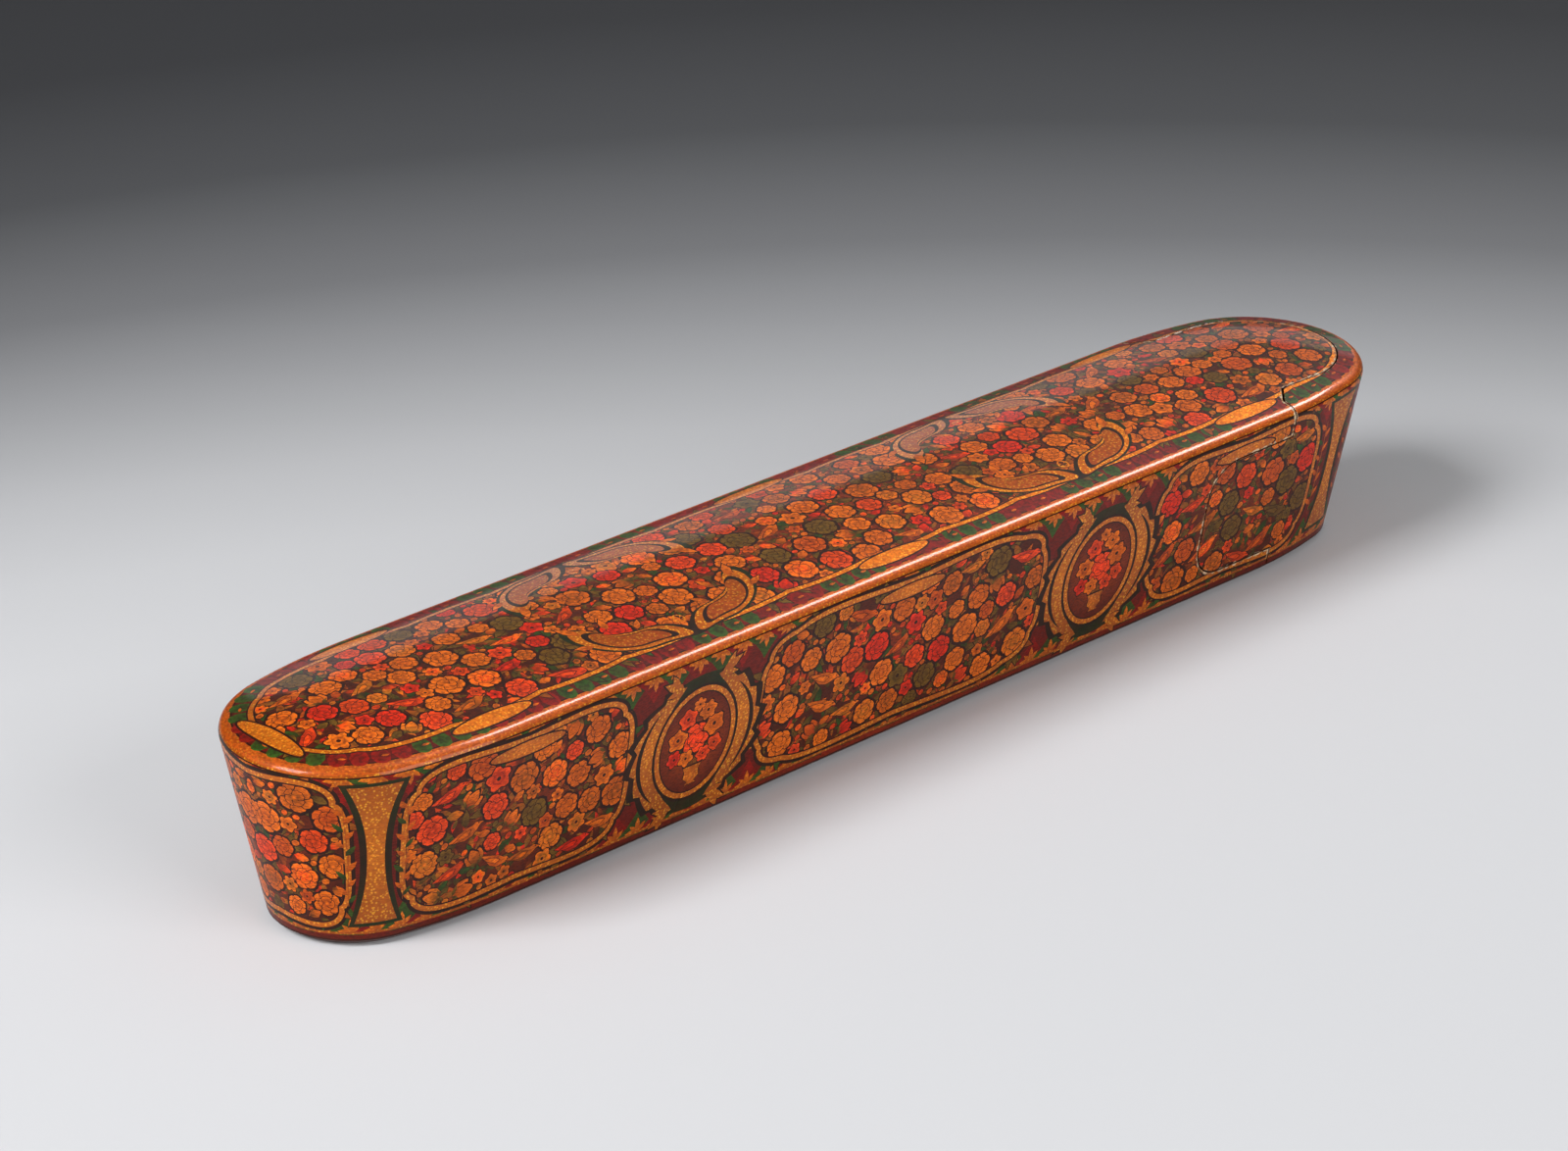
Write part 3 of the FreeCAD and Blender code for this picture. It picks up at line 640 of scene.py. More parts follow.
def long_side(art, rng, flip):
    """Painting of one long side and half of each end, on (length, height)."""
    low, high = FIELD_LOW, FIELD_HIGH
    start, end = -QUARTER - 6, QUARTER + 6
    bottom, top = WALL_START - 2, WALL_TOP + 2
    art.shade([(start, bottom), (end, bottom), (end, top), (start, top)],
              (BAND, linear(92, 26, 12)), (0, 0), 60)
    steps = np.arange(start, end, 2.0)

    def strip(y1, y2, colour, gold=0.0):
        lower = np.stack([steps, np.full(len(steps), y1)], axis=1)
        upper = np.stack([steps, np.full(len(steps), y2)], axis=1)
        art.add(np.concatenate([lower, upper[::-1]]), colour, gold=gold)

    strip(low - 0.1, high + 0.1, linear(96, 22, 14))
    for k, x in enumerate(np.arange(start + 2, end, 4.6)):
        for y, angle in ((low, 0.0), (high, math.pi)):
            spandrel(art, x, y, 4.1, angle, (k + (y > low)) % 2 == 0)
    for y in (up_wall(12), up_wall(20)):
        for x in (-61.0, -35.2, 29.3, 56.2):
            scroll(art, flip * x, y, 1.6, math.pi / 2, 1)
    for x1, x2 in PANELS:
        framed_panel(art, *sorted((flip * x1, flip * x2)), rng)
    for side in (-1, 1):
        ends = sorted((side * (QUARTER - END_PANEL), side * (QUARTER + END_PANEL)))
        framed_panel(art, *ends, random.Random(41 + side))
    for x in MEDALLIONS:
        medallion(art, flip * x, rng)
    for x in WAISTS:
        for side in (-1, 1):
            vine(art, flip * x + side * 4.6, low + 5.0, high - 5.0, rng)
        waist_leaf(art, flip * x)
    strip(high - 0.1, high + 0.25, INK)
    strip(high + 0.1, high + 0.4, GOLD_DEEP, gold=0.8)
    strip(low - 0.45, low, GOLD_DEEP, gold=0.8)
    strip(high + 0.4, top, RIM_GOLD, gold=0.35)
    strip(bottom, WALL_START + 0.35, linear(46, 20, 12))


# Layout of the top

BRACKETS = (-45.3, 40.4)
TABLETS = (-87.1, -3.7, 80.1)
END_TABLET = -115.0
BAND_WIDTH = 2.3


def plan_outline(depth, count=300):
    """The box's outline in plan, at a depth inside the rim."""
    s = np.linspace(-QUARTER, 3 * QUARTER, count, endpoint=False)
    x, y, radius, ux, uy = outline_at(s)
    return np.stack([x + (radius - depth) * ux, y + (radius - depth) * uy], axis=1), ux, uy


def smooth(points, cuts=3):
    """Closed outline with its corners cut again and again."""
    points = np.asarray(points, float)
    for _ in range(cuts):
        ahead = np.roll(points, -1, axis=0)
        points = np.stack([points * 0.75 + ahead * 0.25, points * 0.25 + ahead * 0.75],
                          axis=1).reshape(-1, 2)
    return points


BRACKET_LEAF = [(0.2, -0.6), (5.0, 0.4), (10.5, 0.6), (15.5, 3.4), (18.0, 8.0), (17.2, 11.6),
                (14.0, 10.2), (12.6, 6.6), (8.6, 5.2), (4.2, 4.8), (1.4, 2.4)]
BRACKET_HEART = np.array([10.5, 4.0])
# Coats of a bracket leaf, each smaller than the last, and the sprigs on it
BRACKET_COATS = ((1.14, (SMOKE, GREEN_DARK), 0.0), (1.0, (GOLD_DEEP, GOLD), 1.0),
                 (0.78, (INK, SMOKE), 0.0), (0.66, (BAND, GOLD_DEEP), 0.6))
BRACKET_SPRIGS = ((15.6, 9.4, 1.1, 4.2), (11.2, 8.2, 1.9, 3.4), (7.4, 5.6, 2.3, 2.8),
                  (16.2, 5.4, 0.4, 3.2))


def bracket(art, x, side):
    """Pair of gold leaves that springs from the rim and parts two fields."""
    root_y = side * (HALF_WIDTH - DOME_DEPTH - BAND_WIDTH - 1.0)
    for hand in (-1, 1):
        for grow, colours, gold in BRACKET_COATS:
            form = (smooth(BRACKET_LEAF) - BRACKET_HEART) * grow + BRACKET_HEART
            art.shade(form * np.array([hand, -side]) + (x, root_y), colours, (x, root_y), 17,
                      gold)
        for dx, dy, turn, size in BRACKET_SPRIGS:
            angle = turn if hand > 0 else math.pi - turn
            leaf(art, x + hand * dx, root_y - side * dy, size, -side * angle,
                 (GOLD_DEEP, HONEY))
    for hand in (-1, 1):
        scroll(art, x + hand * 0.2, root_y - side * 5.5, 1.5, side * -math.pi / 2, hand)


def top_painting(art, rng):
    """Painting of the domed top, in plan: one field in a lobed gold border."""
    art.add(plan_outline(-2.0)[0], RIM_GOLD, gold=0.35)
    art.add(plan_outline(DOME_DEPTH + BAND_WIDTH * 0.12)[0], INK)
    art.shade(plan_outline(DOME_DEPTH + BAND_WIDTH * 0.25)[0], (CRIMSON, WINE), (0, 0), 60)
    spots, out_x, out_y = plan_outline(DOME_DEPTH + BAND_WIDTH * 0.75, 150)
    outward = np.arctan2(out_y, out_x)
    for k, (x, y) in enumerate(spots):
        colours = (WINE, CRIMSON) if (k // 4) % 2 else (GREEN_DARK, GREEN)
        art.add(oval(x, y, 1.9, 1.5, 8, outward[k]), *colours, reach=1.6)
    for (x, y), angle in list(zip(spots, outward))[::2]:
        leaf(art, x, y, 1.3, angle + math.pi / 2, (GOLD_DEEP, GOLD), outline=False)
    inner, out_x, out_y = plan_outline(DOME_DEPTH + BAND_WIDTH + 0.9, 420)
    waves = 0.55 * np.abs(np.sin(np.arange(420) * math.pi / 14)) ** 0.7
    border = inner - np.stack([out_x, out_y], axis=1) * (0.7 - waves)[:, None]
    art.shade(border, (FIELD_WARM, GROUND), (0, 0), 70)
    box = (-NOSE_X - NOSE_RADIUS, -HALF_WIDTH, NOSE_X + NOSE_RADIUS, HALF_WIDTH)
    thousand_flowers(art, border[::4], box, rng)
    gold_frame(art, border, 1.3, 0.8)
    for x in BRACKETS:
        for side in (-1, 1):
            bracket(art, x, side)
    for x in TABLETS:
        for side in (-1, 1):
            y = side * (HALF_WIDTH - DOME_DEPTH - 2.6)
            art.add(oval(x, y, 7.9, 1.75, 28), INK)
            art.shade(oval(x, y, 7.5, 1.4, 28), (HONEY, GOLD), (x, y), 8, gold=0.8)
    art.add(oval(END_TABLET, 0.5, 1.9, 8.2, 28), INK)
    art.shade(oval(END_TABLET, 0.5, 1.5, 7.7, 28), (HONEY, GOLD), (END_TABLET, 0), 8, gold=0.8)


# Seam and skins

def head_on_wall(gap):
    """Outline of the drawer head's part of a long side, drawn in by a gap."""
    shoulder = SHOULDER_X + gap

    def edge(z, t):
        return along_wall(shoulder, WALL_LEAN * (1 - z / RIM_HEIGHT)), t

    low, high = up_wall(TONGUE_BASE + gap), up_wall(TONGUE_TOP - gap)
    radius = TONGUE_CORNER - gap
    centre = SHOULDER_X - TONGUE_LENGTH + gap + radius
    points = [(QUARTER + 8, WALL_TOP + 3)]
    for t in np.linspace(WALL_TOP + 0.5, WALL_END, 8):
        depth = float(wall_profile(min(t, WALL_TOP))[0])
        points.append((along_wall(shoulder, depth), t))
    points += [edge(29.5, up_wall(29.5)), edge(28.4, up_wall(28.4)), edge(TONGUE_TOP, high)]
    for level, first in ((high - radius, math.pi / 2), (low + radius, math.pi)):
        for angle in np.linspace(first, first + math.pi / 2, 9):
            points.append((centre + radius * math.cos(angle), level + radius * math.sin(angle)))
    points += [edge(TONGUE_BASE, low), edge(2.5, up_wall(2.5)), edge(0, WALL_START - 3),
               (QUARTER + 8, WALL_START - 3)]
    return np.array(points)


def head_on_top(gap):
    """Outline of the drawer head's part of the top: the horseshoe round the tongue."""
    radius = NOSE_RADIUS - FLANGE_WIDTH + gap
    root = SHOULDER_X + gap
    wide = HALF_WIDTH + 4
    near = [(root, -wide), (root, -radius - ROOT_FLARE), (root + ROOT_FLARE, -radius),
            (NOSE_X, -radius)]
    tip = [(NOSE_X + radius * math.cos(a), radius * math.sin(a))
           for a in np.linspace(-math.pi / 2, math.pi / 2, 33)[1:-1]]
    away = [(x, -y) for x, y in reversed(near)]
    return np.array(near + tip + away + [(RIM_LENGTH, wide), (RIM_LENGTH, -wide)])


def seam_wear_and_highlight(art, outline, rng):
    """Chips of pale worn lacquer along the seam, also painted highlight on its edges."""
    for start, end in zip(outline[:-1], outline[1:]):
        way = end - start
        length = float(np.hypot(*way))
        if length > 30:
            continue
        for share in np.arange(0, 1, min(1, 2.4 / max(length, 0.1))):
            if rng.random() < 0.7:
                a = start + way * share
                b = start + way * min(1, share + 2.2 / max(length, 0.1))
                stroke(art, np.linspace(a, b, 3), rng.uniform(0.5, 0.8), WORN_AMBER_AND_HIGHLIGHT, gold=-1)
        for _ in range(max(1, int(length / 0.9))):
            x, y = start + way * rng.random()
            size = rng.uniform(0.2, 0.75)
            art.add(oval(x, y, size, rng.uniform(0.3, 0.55), 6, math.atan2(*way[::-1])),
                    WORN_AND_HIGHLIGHT if rng.random() < 0.6 else linear(150, 96, 60), gold=-1)


def anticlockwise(outline):
    """The outline in the direction that the triangulation fills."""
    outline = np.asarray([tuple(p)[:2] for p in outline])
    x, y = outline[:, 0], outline[:, 1]
    return outline if (x * np.roll(y, -1) - np.roll(x, -1) * y).sum() > 0 else outline[::-1]


def flatten(art, domain, regions, cells, extra):
    """Triangles of a painting, with the topmost shape, region and cell of each."""
    faces, verts = [], []
    for outline in [domain] + regions + cells + art.outlines:
        outline = anticlockwise(outline)
        faces.append(list(range(len(verts), len(verts) + len(outline))))
        verts += [Vector(p) for p in outline]
    verts += [Vector(p) for p in extra]
    points, _, triangles, _, _, sources = delaunay_2d_cdt(verts, [], faces, 0, 1e-5, True)
    first = 1 + len(regions) + len(cells)
    kept, shapes, where, cell = [], [], [], []
    for triangle, source in zip(triangles, sources):
        if 0 not in source:
            continue
        top = max(source)
        if top < first or len(triangle) != 3:
            continue
        kept.append(triangle)
        shapes.append(top - first)
        where.append(sum(1 << (k - 1) for k in source if 1 <= k <= len(regions)))
        inner_cells = [k for k in source if len(regions) < k < first]
        cell.append(inner_cells[0] - 1 - len(regions) if inner_cells else 0)
    points = np.array([tuple(p) for p in points])
    return points, np.array(kept), np.array(shapes), np.array(where), np.array(cell)


def paint_skin(name, body, art, flat, chosen, to_space, unwrap):
    """Mesh of the chosen triangles, a little above the box, with its colours."""
    points, triangles, shapes, _, cells = flat
    triangles, shapes, cells = triangles[chosen], shapes[chosen], cells[chosen]
    used, compact = np.unique(triangles, return_inverse=True)
    triangles = compact.reshape(triangles.shape)
    plane = points[used]
    places, normals = to_space(plane)
    cross = np.cross(places[triangles[:, 1]] - places[triangles[:, 0]],
                     places[triangles[:, 2]] - places[triangles[:, 0]])
    turned = (cross * normals[triangles[:, 0]]).sum(axis=1) < 0
    triangles[turned] = triangles[turned][:, ::-1]
    raised = places + normals * SKIN_RISE

    corner = plane[triangles]
    shading = np.array(art.shading)[shapes]
    inner, outer, focus, reach, gold = np.split(shading, (3, 6, 8, 9), axis=1)
    away = np.hypot(*(corner - focus[:, None, :]).transpose(2, 0, 1))
    share = np.clip(away / reach, 0, 1)[..., None]
    colours = inner[:, None, :] * (1 - share) + outer[:, None, :] * share

    sides = np.sort(triangles[:, [0, 1, 1, 2, 2, 0]].reshape(-1, 2), axis=1)
    keys, count = np.unique(sides, axis=0, return_counts=True)
    rim = keys[count == 1]
    tucked = places - normals * SKIN_TUCK
    rim_verts, rim_index = np.unique(rim, return_inverse=True)
    rim_index = rim_index.reshape(rim.shape) + len(raised)
    verts = np.concatenate([raised, tucked[rim_verts]]) * MM
    skirts = np.concatenate([np.stack([rim[:, 0], rim[:, 1], rim_index[:, 1]], axis=1),
                             np.stack([rim[:, 0], rim_index[:, 1], rim_index[:, 0]], axis=1)])
    all_faces = np.concatenate([triangles, skirts])

    mesh = bpy.data.meshes.new(name)
    mesh.vertices.add(len(verts))
    mesh.vertices.foreach_set("co", verts.ravel())
    mesh.loops.add(len(all_faces) * 3)
    mesh.loops.foreach_set("vertex_index", all_faces.ravel().astype(np.int32))
    mesh.polygons.add(len(all_faces))
    mesh.polygons.foreach_set("loop_start", np.arange(0, len(all_faces) * 3, 3, dtype=np.int32))
    mesh.update(calc_edges=True)
    mesh.shade_smooth()

    paint = np.ones((len(all_faces), 3, 4), np.float32)
    paint[:len(triangles), :, :3] = colours
    paint[:len(triangles), :, 3] = gold >= 0
    paint[len(triangles):, :, :3] = linear(92, 52, 30)
    layer = mesh.color_attributes.new("paint", "FLOAT_COLOR", "CORNER")
    layer.data.foreach_set("color", paint.ravel())
    leafed = np.zeros((len(all_faces), 3), np.float32)
    leafed[:len(triangles)] = np.maximum(gold, 0)
    mesh.attributes.new("gold", "FLOAT", "CORNER").data.foreach_set("value", leafed.ravel())

    uv = unwrap(corner, cells)
    vert_uv = np.zeros((len(raised), 2))
    vert_uv[triangles] = uv
    above = np.concatenate([np.arange(len(raised)), rim_verts])
    uv = np.concatenate([uv, vert_uv[above[skirts]]])
    mesh.uv_layers.new(name="OFBake").data.foreach_set("uv", uv.ravel())

    shade = np.concatenate([normals, normals[rim_verts]])
    mesh.normals_split_custom_set_from_vertices(shade)
    mesh.validate()
    piece = bpy.data.objects.new(name, mesh)
    bpy.context.scene.collection.objects.link(piece)
    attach(piece, body)


def grid(x1, x2, y1, y2, step_x, step_y):
    """Loose points that keep the triangles small on curved ground."""
    xs = np.arange(x1 + step_x / 2, x2, step_x)
    ys = np.arange(y1 + step_y / 2, y2, step_y)
    mesh_x, mesh_y = np.meshgrid(xs, ys)
    mesh_x[1::2] += step_x / 2
    return np.stack([mesh_x.ravel(), mesh_y.ravel()], axis=1)


def rows(start, end, count, height, low):
    """Cells side by side along the length, and an unwrap that stacks them."""
    width = (end - start) / count
    rise = np.linspace(low, low + height, CELL_STEPS)

    def upright(k):
        return np.stack([np.full_like(rise, start + k * width), rise], axis=1)

    cells = [np.concatenate([upright(k + 1), upright(k)[::-1]]) for k in range(count)]
    margin = 0.6
    scale = 1 / max(width + 2 * margin, count * (height + 2 * margin))

    def unwrap(corner, cell):
        u = (corner[..., 0] - start - cell[:, None] * width + margin) * scale
        v = (corner[..., 1] - low + margin + cell[:, None] * (height + 2 * margin)) * scale
        return np.clip(np.stack([u, v], axis=-1), 0, 1)
    return cells, unwrap


def build_skins(side, art, domain, seam, extra, to_space, sleeve_rows, head_rows):
    """The sleeve's and the drawer head's painted skins on one side of the box."""
    cells, unwrap = rows(*sleeve_rows)
    flat = flatten(art, domain, [seam(0.0), seam(SEAM_GAP)], cells, extra)
    where = flat[3]
    paint_skin("sleeve_" + side + "_painting", "sleeve", art, flat, where == OUTSIDE_SEAM,
               to_space, unwrap)
    flat = flat[:4] + (np.zeros_like(flat[4]),)
    paint_skin("head_" + side + "_painting", "drawer", art, flat, where == INSIDE_GAP,
               to_space, rows(*head_rows)[1])


def build_wall(side, mirrored):
    """Painted skins of one long side; the back's are the front's turned over."""
    rng = random.Random(7 if mirrored else 3)
    art = Painting()
    long_side(art, rng, -1 if mirrored else 1)
    seam_wear_and_highlight(art, head_on_wall(0.0)[1:-2], rng)
    steps = np.arange(-QUARTER, QUARTER + 0.1, QUARTER / 90)
    domain = np.concatenate([np.stack([steps, np.full(len(steps), WALL_START)], axis=1),
                             np.stack([steps, np.full(len(steps), WALL_TOP)], axis=1)[::-1]])
    extra = np.concatenate([
        grid(-QUARTER, QUARTER, WALL_START, WALL_END, GRID_STEP, 3.0),
        grid(-QUARTER, QUARTER, WALL_END - 0.2, WALL_TOP, 1.0, RIM_STEP)])

    def to_space(points):
        places, normals = wall_to_space(points)
        turn = (1, -1 if mirrored else 1, 1)
        return places * turn, normals * turn

    height = WALL_TOP - WALL_START
    build_skins(side, art, domain, head_on_wall, extra, to_space,
                (-QUARTER, QUARTER, 3, height, WALL_START),
                (SHOULDER_X - TONGUE_LENGTH, QUARTER, 1, height, WALL_START))


def build_top():
    """Painted skins of the domed top."""
    rng = random.Random(11)
    art = Painting()
    top_painting(art, rng)
    seam_wear_and_highlight(art, head_on_top(0.0)[:-2], rng)
    reach = RIM_LENGTH / 2 - DOME_DEPTH
    extra = grid(-reach, reach, -HALF_WIDTH, HALF_WIDTH, GRID_STEP, GRID_STEP)
    build_skins("top", art, plan_outline(DOME_DEPTH, 360)[0], head_on_top, extra, top_to_space,
                (-reach, reach, 2, RIM_WIDTH, -HALF_WIDTH),
                (SHOULDER_X, RIM_LENGTH / 2, 1, RIM_WIDTH, -HALF_WIDTH))


build_wall("front", False)
build_wall("back", True)
build_top()


# Materials

class Nodes:
    """Short hand for a material's node tree."""

    def __init__(self, name):
        self.material = bpy.data.materials.new(name)
        self.material.use_nodes = True
        self.tree = self.material.node_tree
        self.shader = self.tree.nodes["Principled BSDF"]

    def put(self, kind, inputs=None, **settings):
        node = self.tree.nodes.new(kind)
        for key, value in settings.items():
            setattr(node, key, value)
        for key, value in (inputs or {}).items():
            self.set(node, key, value)
        return node

    def set(self, node, key, value):
        if isinstance(value, bpy.types.NodeSocket):
            self.tree.links.new(value, node.inputs[key])
        else:
            node.inputs[key].default_value = value

    def shade(self, **values):
        for key, value in values.items():
            self.set(self.shader, key.replace("_", " "), value)

    def mix(self, share, a, b, blend="MIX"):
        node = self.put("ShaderNodeMix", data_type="RGBA", blend_type=blend)
        self.set(node, 0, share)
        self.set(node, 6, a)
        self.set(node, 7, b)
        return node.outputs[2]

    def lay(self, share, amount, colour, under, blend="MIX"):
        """A colour over what is under it, by an amount of a share."""
        return self.mix(self.math("MULTIPLY", share, amount), under, solid(colour), blend)

    def tones(self, pattern, low, high, first, second):
        """Two colours, blended where a pattern lies between low and high."""
        return self.mix(self.span(pattern, low, high), solid(linear(*first)),
                        solid(linear(*second)))

    def math(self, operation, a, b=0.0, c=0.0):
        node = self.put("ShaderNodeMath", operation=operation)
        self.set(node, 0, a)
        self.set(node, 1, b)
        self.set(node, 2, c)
        return node.outputs[0]

    def span(self, value, low, high, to_low=0.0, to_high=1.0):
        node = self.put("ShaderNodeMapRange")
        for key, number in zip(range(5), (value, low, high, to_low, to_high)):
            self.set(node, key, number)
        return node.outputs[0]

    def place(self, stretch=(1, 1, 1)):
        where = self.put("ShaderNodeTexCoord").outputs["Object"]
        return self.put("ShaderNodeMapping", {"Vector": where, "Scale": stretch}).outputs[0]

    def noise(self, scale, detail=3.0, stretch=(1, 1, 1)):
        node = self.put("ShaderNodeTexNoise", {"Vector": self.place(stretch), "Scale": scale,
                                               "Detail": detail, "Roughness": 0.55})
        return node.outputs[0]

    def cells(self, scale, feature="F1", stretch=(1, 1, 1)):
        node = self.put("ShaderNodeTexVoronoi", {"Vector": self.place(stretch), "Scale": scale},
                        feature=feature)
        return node.outputs["Distance"]

    def bump(self, height, distance, strength=1.0):
        node = self.put("ShaderNodeBump", {"Height": height, "Distance": distance,
                                           "Strength": strength})
        self.set(self.shader, "Normal", node.outputs[0])


def solid(colour):
    return (*colour, 1.0)


def painted_lacquer():
    """Miniature painting with gold, under amber varnish that has aged."""
    n = Nodes("painted_lacquer")
    paint = n.put("ShaderNodeAttribute", attribute_name="paint").outputs
    gold = n.put("ShaderNodeAttribute", attribute_name="gold").outputs["Fac"]
    dots = n.span(n.cells(1900), 0.1, 0.45, 1.0, 0.0)
    wash = n.span(n.noise(420, 2), 0.35, 0.7)
    hatch = n.span(n.noise(1500, 1, (1, 1, 3.5)), 0.45, 0.6)
    colour = n.lay(wash, 0.3, GROUND, paint["Color"])
    colour = n.lay(hatch, 0.46, INK, colour)
    leafing = n.mix(dots, solid(linear(158, 84, 16)), solid(linear(255, 206, 90)))
    colour = n.mix(n.math("MULTIPLY", gold, 0.55), colour, leafing)
    age = n.span(n.noise(34, 4), 0.38, 0.72)
    colour = n.lay(age, 0.2, linear(120, 52, 14), colour, "MULTIPLY")
    cracks = n.span(n.cells(190, "DISTANCE_TO_EDGE"), 0.0, 0.012, 1.0, 0.0)
    cracks = n.math("MULTIPLY", cracks, n.span(n.noise(40, 2), 0.5, 0.66))
    colour = n.lay(cracks, 0.45, INK, colour)
    varnish = n.mix(gold, (1.35, 0.74, 0.19, 1.0), (1.25, 0.96, 0.28, 1.0))
    colour = n.mix(paint["Alpha"], colour, varnish, "MULTIPLY")
    n.shade(Base_Color=colour, Metallic=n.math("MULTIPLY", gold, 0.3),
            Roughness=n.span(n.noise(900, 2), 0.3, 0.7, 0.4, 0.52), Specular_IOR_Level=0.1,
            Coat_Weight=n.math("MULTIPLY_ADD", gold, 0.2, 0.22), Coat_Roughness=0.08,
            Coat_IOR=1.5)
    relief = n.math("ADD", n.math("MULTIPLY", dots, gold), n.math("MULTIPLY", cracks, -0.8))
    n.bump(relief, 0.00004, 0.5)
    return n.material


def plain_lacquer(name, deep, worn, coat):
    """Plain lacquered papier-mache, with rubbed patches."""
    n = Nodes(name)
    patches = n.span(n.noise(60, 5), 0.4, 0.7)
    fibres = n.span(n.noise(900, 3, (1, 4, 4)), 0.35, 0.7)
    flecks = n.span(n.cells(700), 0.05, 0.12, 1.0, 0.0)
    colour = n.lay(fibres, 0.25, INK, n.mix(patches, solid(deep), solid(worn)))
    colour = n.lay(flecks, 0.35, GOLD_DEEP, colour)
    n.shade(Base_Color=colour, Roughness=n.span(patches, 0, 1, 0.35, 0.55),
            Coat_Weight=coat, Coat_Roughness=0.15)
    n.bump(n.noise(300, 4), 0.00008, 0.5)
    return n.material


def worn_brass():
    n = Nodes("worn_brass")
    tarnish = n.span(n.noise(180, 5), 0.42, 0.72)
    colour = n.mix(tarnish, solid(linear(212, 168, 88)), solid(linear(112, 76, 34)))
    n.shade(Base_Color=colour, Metallic=1.0, Roughness=n.span(tarnish, 0, 1, 0.22, 0.48))
    n.bump(n.noise(1400, 2, (1, 6, 1)), 0.00002, 0.4)
    return n.material


def reed_cane():
    n = Nodes("reed_cane")
    grain = n.noise(900, 3, (0.06, 1, 1))
    colour = n.tones(grain, 0.35, 0.7, (124, 66, 26), (66, 30, 12))
    spots = n.span(n.noise(130, 4), 0.55, 0.72)
    n.shade(Base_Color=n.lay(spots, 0.6, linear(168, 108, 50), colour), Roughness=0.36,
            Coat_Weight=0.25, Coat_Roughness=0.2)
    n.bump(grain, 0.00006, 0.6)
    return n.material


def polished_bone():
    n = Nodes("polished_bone")
    colour = n.tones(n.noise(700, 3, (0.12, 1, 1)), 0.4, 0.75, (226, 212, 178), (184, 158, 112))
    pores = n.span(n.cells(2400, stretch=(0.2, 1, 1)), 0.05, 0.16, 1.0, 0.0)
    n.shade(Base_Color=n.lay(pores, 0.4, linear(120, 92, 56), colour), Roughness=0.32)
    n.bump(pores, 0.00003, 0.4)
    return n.material


def ground_steel():
    n = Nodes("ground_steel")
    lines = n.noise(1200, 3, (0.05, 1, 6))
    colour = n.tones(lines, 0.35, 0.7, (196, 196, 198), (120, 118, 116))
    rust = n.span(n.noise(240, 4), 0.58, 0.72)
    n.shade(Base_Color=n.lay(rust, 0.5, linear(96, 62, 40), colour), Metallic=1.0,
            Roughness=n.span(lines, 0.3, 0.7, 0.25, 0.42))
    n.bump(lines, 0.00002, 0.4)
    return n.material


def inked_silk():
    n = Nodes("inked_silk")
    strands = n.noise(1600, 4, (1, 0.3, 1))
    n.shade(Base_Color=n.tones(strands, 0.3, 0.75, (22, 20, 24), (66, 58, 52)),
            Roughness=0.6, Sheen_Weight=0.4, Sheen_Roughness=0.4)
    n.bump(strands, 0.0002, 0.9)
    return n.material


def dress(names, material):
    """Gives CAD nodes a material."""
    for name in names:
        slots = frame["nodes"][name].data.materials
        slots.clear()
        slots.append(material)


lacquer = painted_lacquer()
for piece in bpy.data.objects:
    if piece.name.endswith("_painting"):
        piece.data.materials.append(lacquer)
dress(["sleeve_shell", "drawer_head"],
      plain_lacquer("under_lacquer", linear(66, 24, 12), linear(98, 40, 18), 0.5))
dress(["tray_shell", "tray_divider"],
      plain_lacquer("tray_lacquer", linear(112, 26, 14), linear(140, 44, 22), 0.35))
dress(["inkwell_body", "inkwell_collar", "inkwell_lid", "inkwell_knob", "inkwell_hinge_pin",
       "penknife_ferrule", "water_spoon"], worn_brass())
dress(["reed_pen_1", "reed_pen_2", "reed_pen_3", "reed_pen_4"], reed_cane())
dress(["penknife_handle", "nib_block"], polished_bone())
dress(["penknife_blade"], ground_steel())
dress(["ink_wad"], inked_silk())


# Camera, floor and lights

VIEW_YAW = 0.8076
VIEW_PITCH = 0.4443
VIEW_DISTANCE = 790.6
FOCAL_PIXELS = 4930.6
IMAGE_WIDTH = 1600
SHIFT_PIXELS = (53.6, 36.5)

forward = Vector((math.cos(VIEW_YAW) * math.cos(VIEW_PITCH),
                  math.sin(VIEW_YAW) * math.cos(VIEW_PITCH), -math.sin(VIEW_PITCH)))


def add_camera():
    data = bpy.data.cameras.new("camera")
    data.sensor_width = 36.0
    data.sensor_fit = "HORIZONTAL"
    data.lens = FOCAL_PIXELS / IMAGE_WIDTH * data.sensor_width
    data.shift_x = -SHIFT_PIXELS[0] / IMAGE_WIDTH
    data.shift_y = SHIFT_PIXELS[1] / IMAGE_WIDTH
    camera = bpy.data.objects.new("camera", data)
    camera.location = (Vector((0, 0, RIM_HEIGHT / 2)) - forward * VIEW_DISTANCE) * MM
    camera.rotation_euler = forward.to_track_quat("-Z", "Y").to_euler()
    bpy.context.scene.collection.objects.link(camera)
    bpy.context.scene.camera = camera


# Painted shade of the floor: its grey by distance behind the box along the view, in millimetres
FLOOR_SHADE_GREYS = [(0, 211), (43, 210), (84, 200), (121, 184), (149, 165), (180, 142),
               (213, 114), (284, 74), (365, 53), (600, 40)]


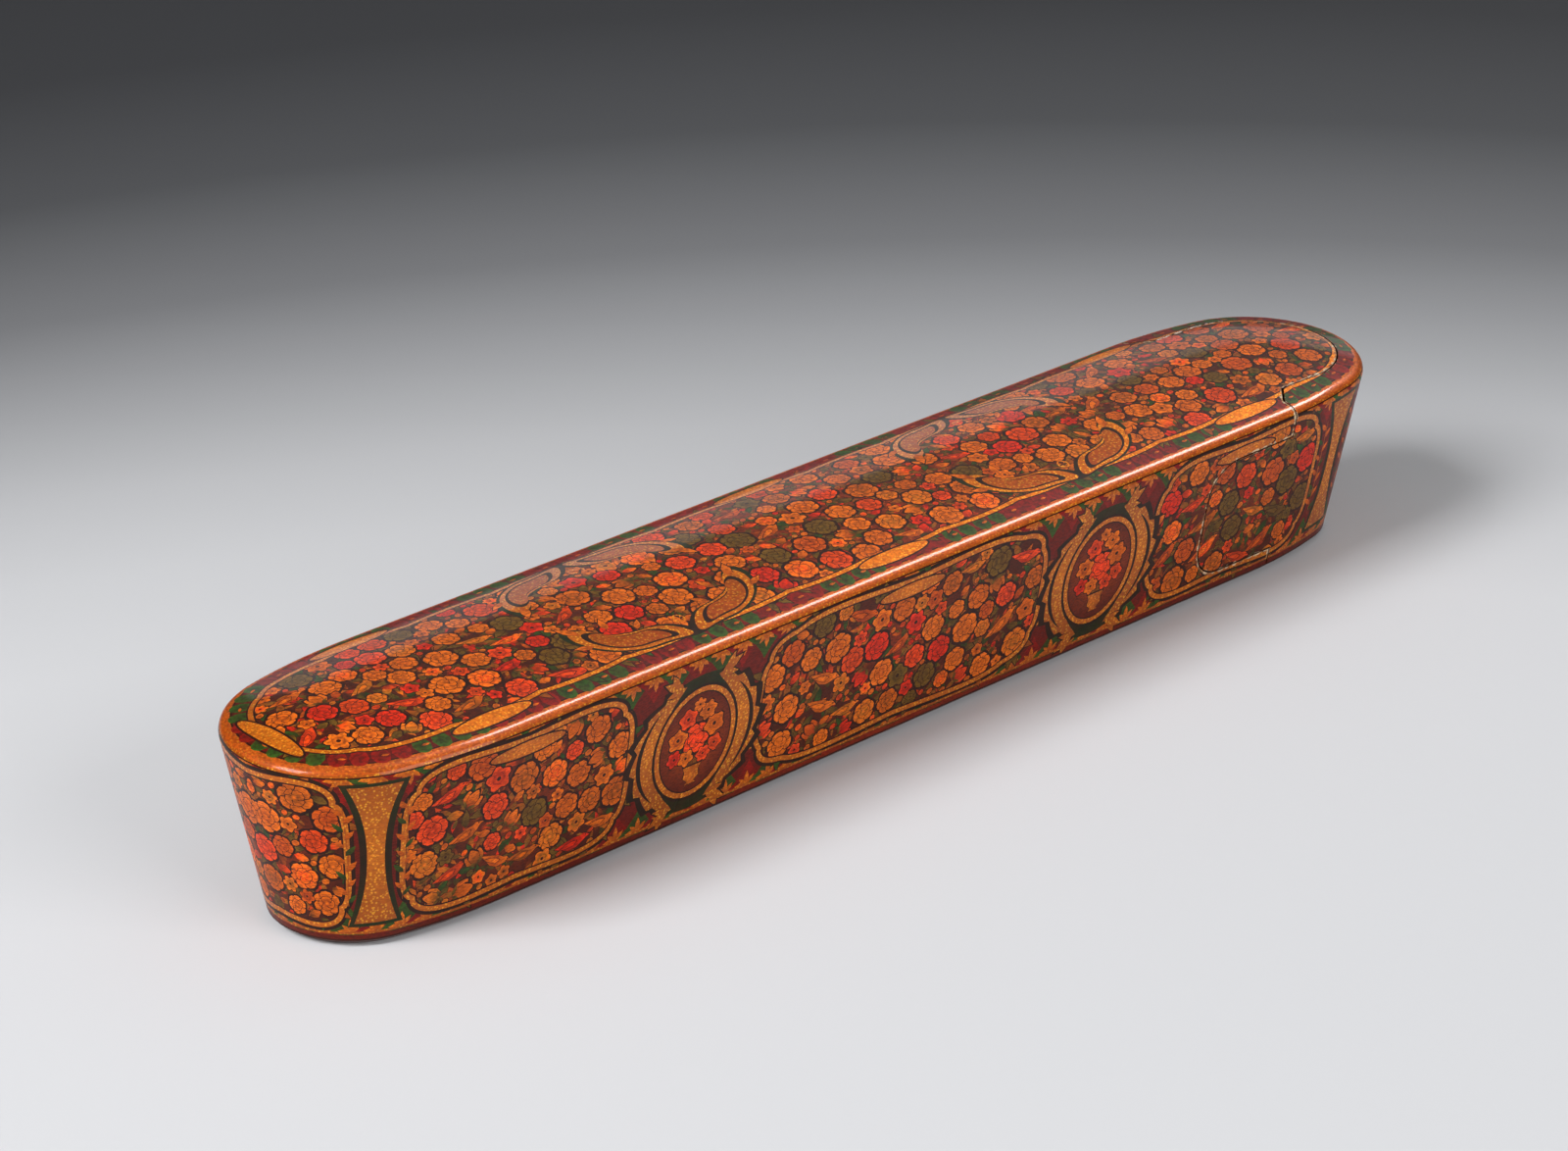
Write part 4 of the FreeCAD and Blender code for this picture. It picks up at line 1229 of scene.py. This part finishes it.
def add_floor():
    """Pale floor with painted shade: it darkens away from the camera and to either side."""
    n = Nodes("studio_floor")
    where = n.put("ShaderNodeNewGeometry").outputs["Position"]
    along = Vector((forward.x, forward.y, 0)).normalized()
    aside = Vector((along.y, -along.x, 0))
    away = n.put("ShaderNodeVectorMath", {0: where, 1: along}, operation="DOT_PRODUCT")
    across = n.put("ShaderNodeVectorMath", {0: where, 1: aside}, operation="DOT_PRODUCT")
    # Painted shade: the floor also darkens to either side of the view, as a vignette of falling
    # light
    side_shade = n.math("POWER", n.math("SUBTRACT", across.outputs["Value"], 0.06), 2.0)
    reach = FLOOR_SHADE_GREYS[-1][0] * MM
    share = n.span(n.math("MULTIPLY_ADD", side_shade, 1.04, away.outputs["Value"]), 0.0, reach)
    ramp = n.put("ShaderNodeValToRGB", {"Fac": share})
    stops = ramp.color_ramp.elements
    for k, (distance, grey) in enumerate(FLOOR_SHADE_GREYS):
        stop = stops[k] if k < 2 else stops.new(distance * MM / reach)
        stop.position = distance * MM / reach
        stop.color = solid(linear(grey, grey + 1, grey + 4))
    n.shade(Base_Color=ramp.outputs[0], Roughness=0.85, Specular_IOR_Level=0.1)
    mesh = bpy.data.meshes.new("floor")
    size = 6.0
    mesh.from_pydata([(-size, -size, 0), (size, -size, 0), (size, size, 0), (-size, size, 0)],
                     [], [(0, 1, 2, 3)])
    mesh.materials.append(n.material)
    floor = bpy.data.objects.new("floor", mesh)
    bpy.context.scene.collection.objects.link(floor)


def add_softbox(name, place, size, power, glints=False):
    """Rectangular soft light that faces the box; with glints it shows in gloss alone."""
    data = bpy.data.lights.new(name, "AREA")
    data.shape = "RECTANGLE"
    data.size, data.size_y = size
    data.energy = power
    lamp = bpy.data.objects.new(name, data)
    lamp.location = place
    lamp.visible_diffuse = not glints
    lamp.rotation_euler = (-Vector(place)).to_track_quat("-Z", "Y").to_euler()
    bpy.context.scene.collection.objects.link(lamp)


def add_world(dark, light):
    """Studio walls: dark behind the box, light overhead and on the camera's side."""
    world = bpy.data.worlds.new("studio")
    world.use_nodes = True
    tree = world.node_tree
    where = tree.nodes.new("ShaderNodeTexCoord")
    lean = tree.nodes.new("ShaderNodeVectorMath")
    lean.operation = "DOT_PRODUCT"
    lean.inputs[1].default_value = Vector((-0.5, -0.4, 0.77)).normalized()
    level = tree.nodes.new("ShaderNodeMapRange")
    level.interpolation_type = "SMOOTHSTEP"
    for key, value in zip((1, 2, 3, 4), (-0.05, 0.75, dark, light)):
        level.inputs[key].default_value = value
    tree.links.new(where.outputs["Generated"], lean.inputs[0])
    tree.links.new(lean.outputs["Value"], level.inputs[0])
    tree.links.new(level.outputs[0], tree.nodes["Background"].inputs[0])
    bpy.context.scene.world = world


add_camera()
add_floor()
add_world(0.07, 0.42)
add_softbox("key", (-1.7, 0.3, 1.5), (0.9, 0.9), 50)
add_softbox("rim", (1.05, 0.0, 1.25), (0.5, 0.8), 44, glints=True)
add_softbox("back", (1.7, 1.75, 0.62), (1.6, 0.5), 3.0, glints=True)
add_softbox("fill", (0.3, -2.2, 1.0), (1.8, 1.2), 28)
bpy.context.scene.view_settings.view_transform = "Standard"
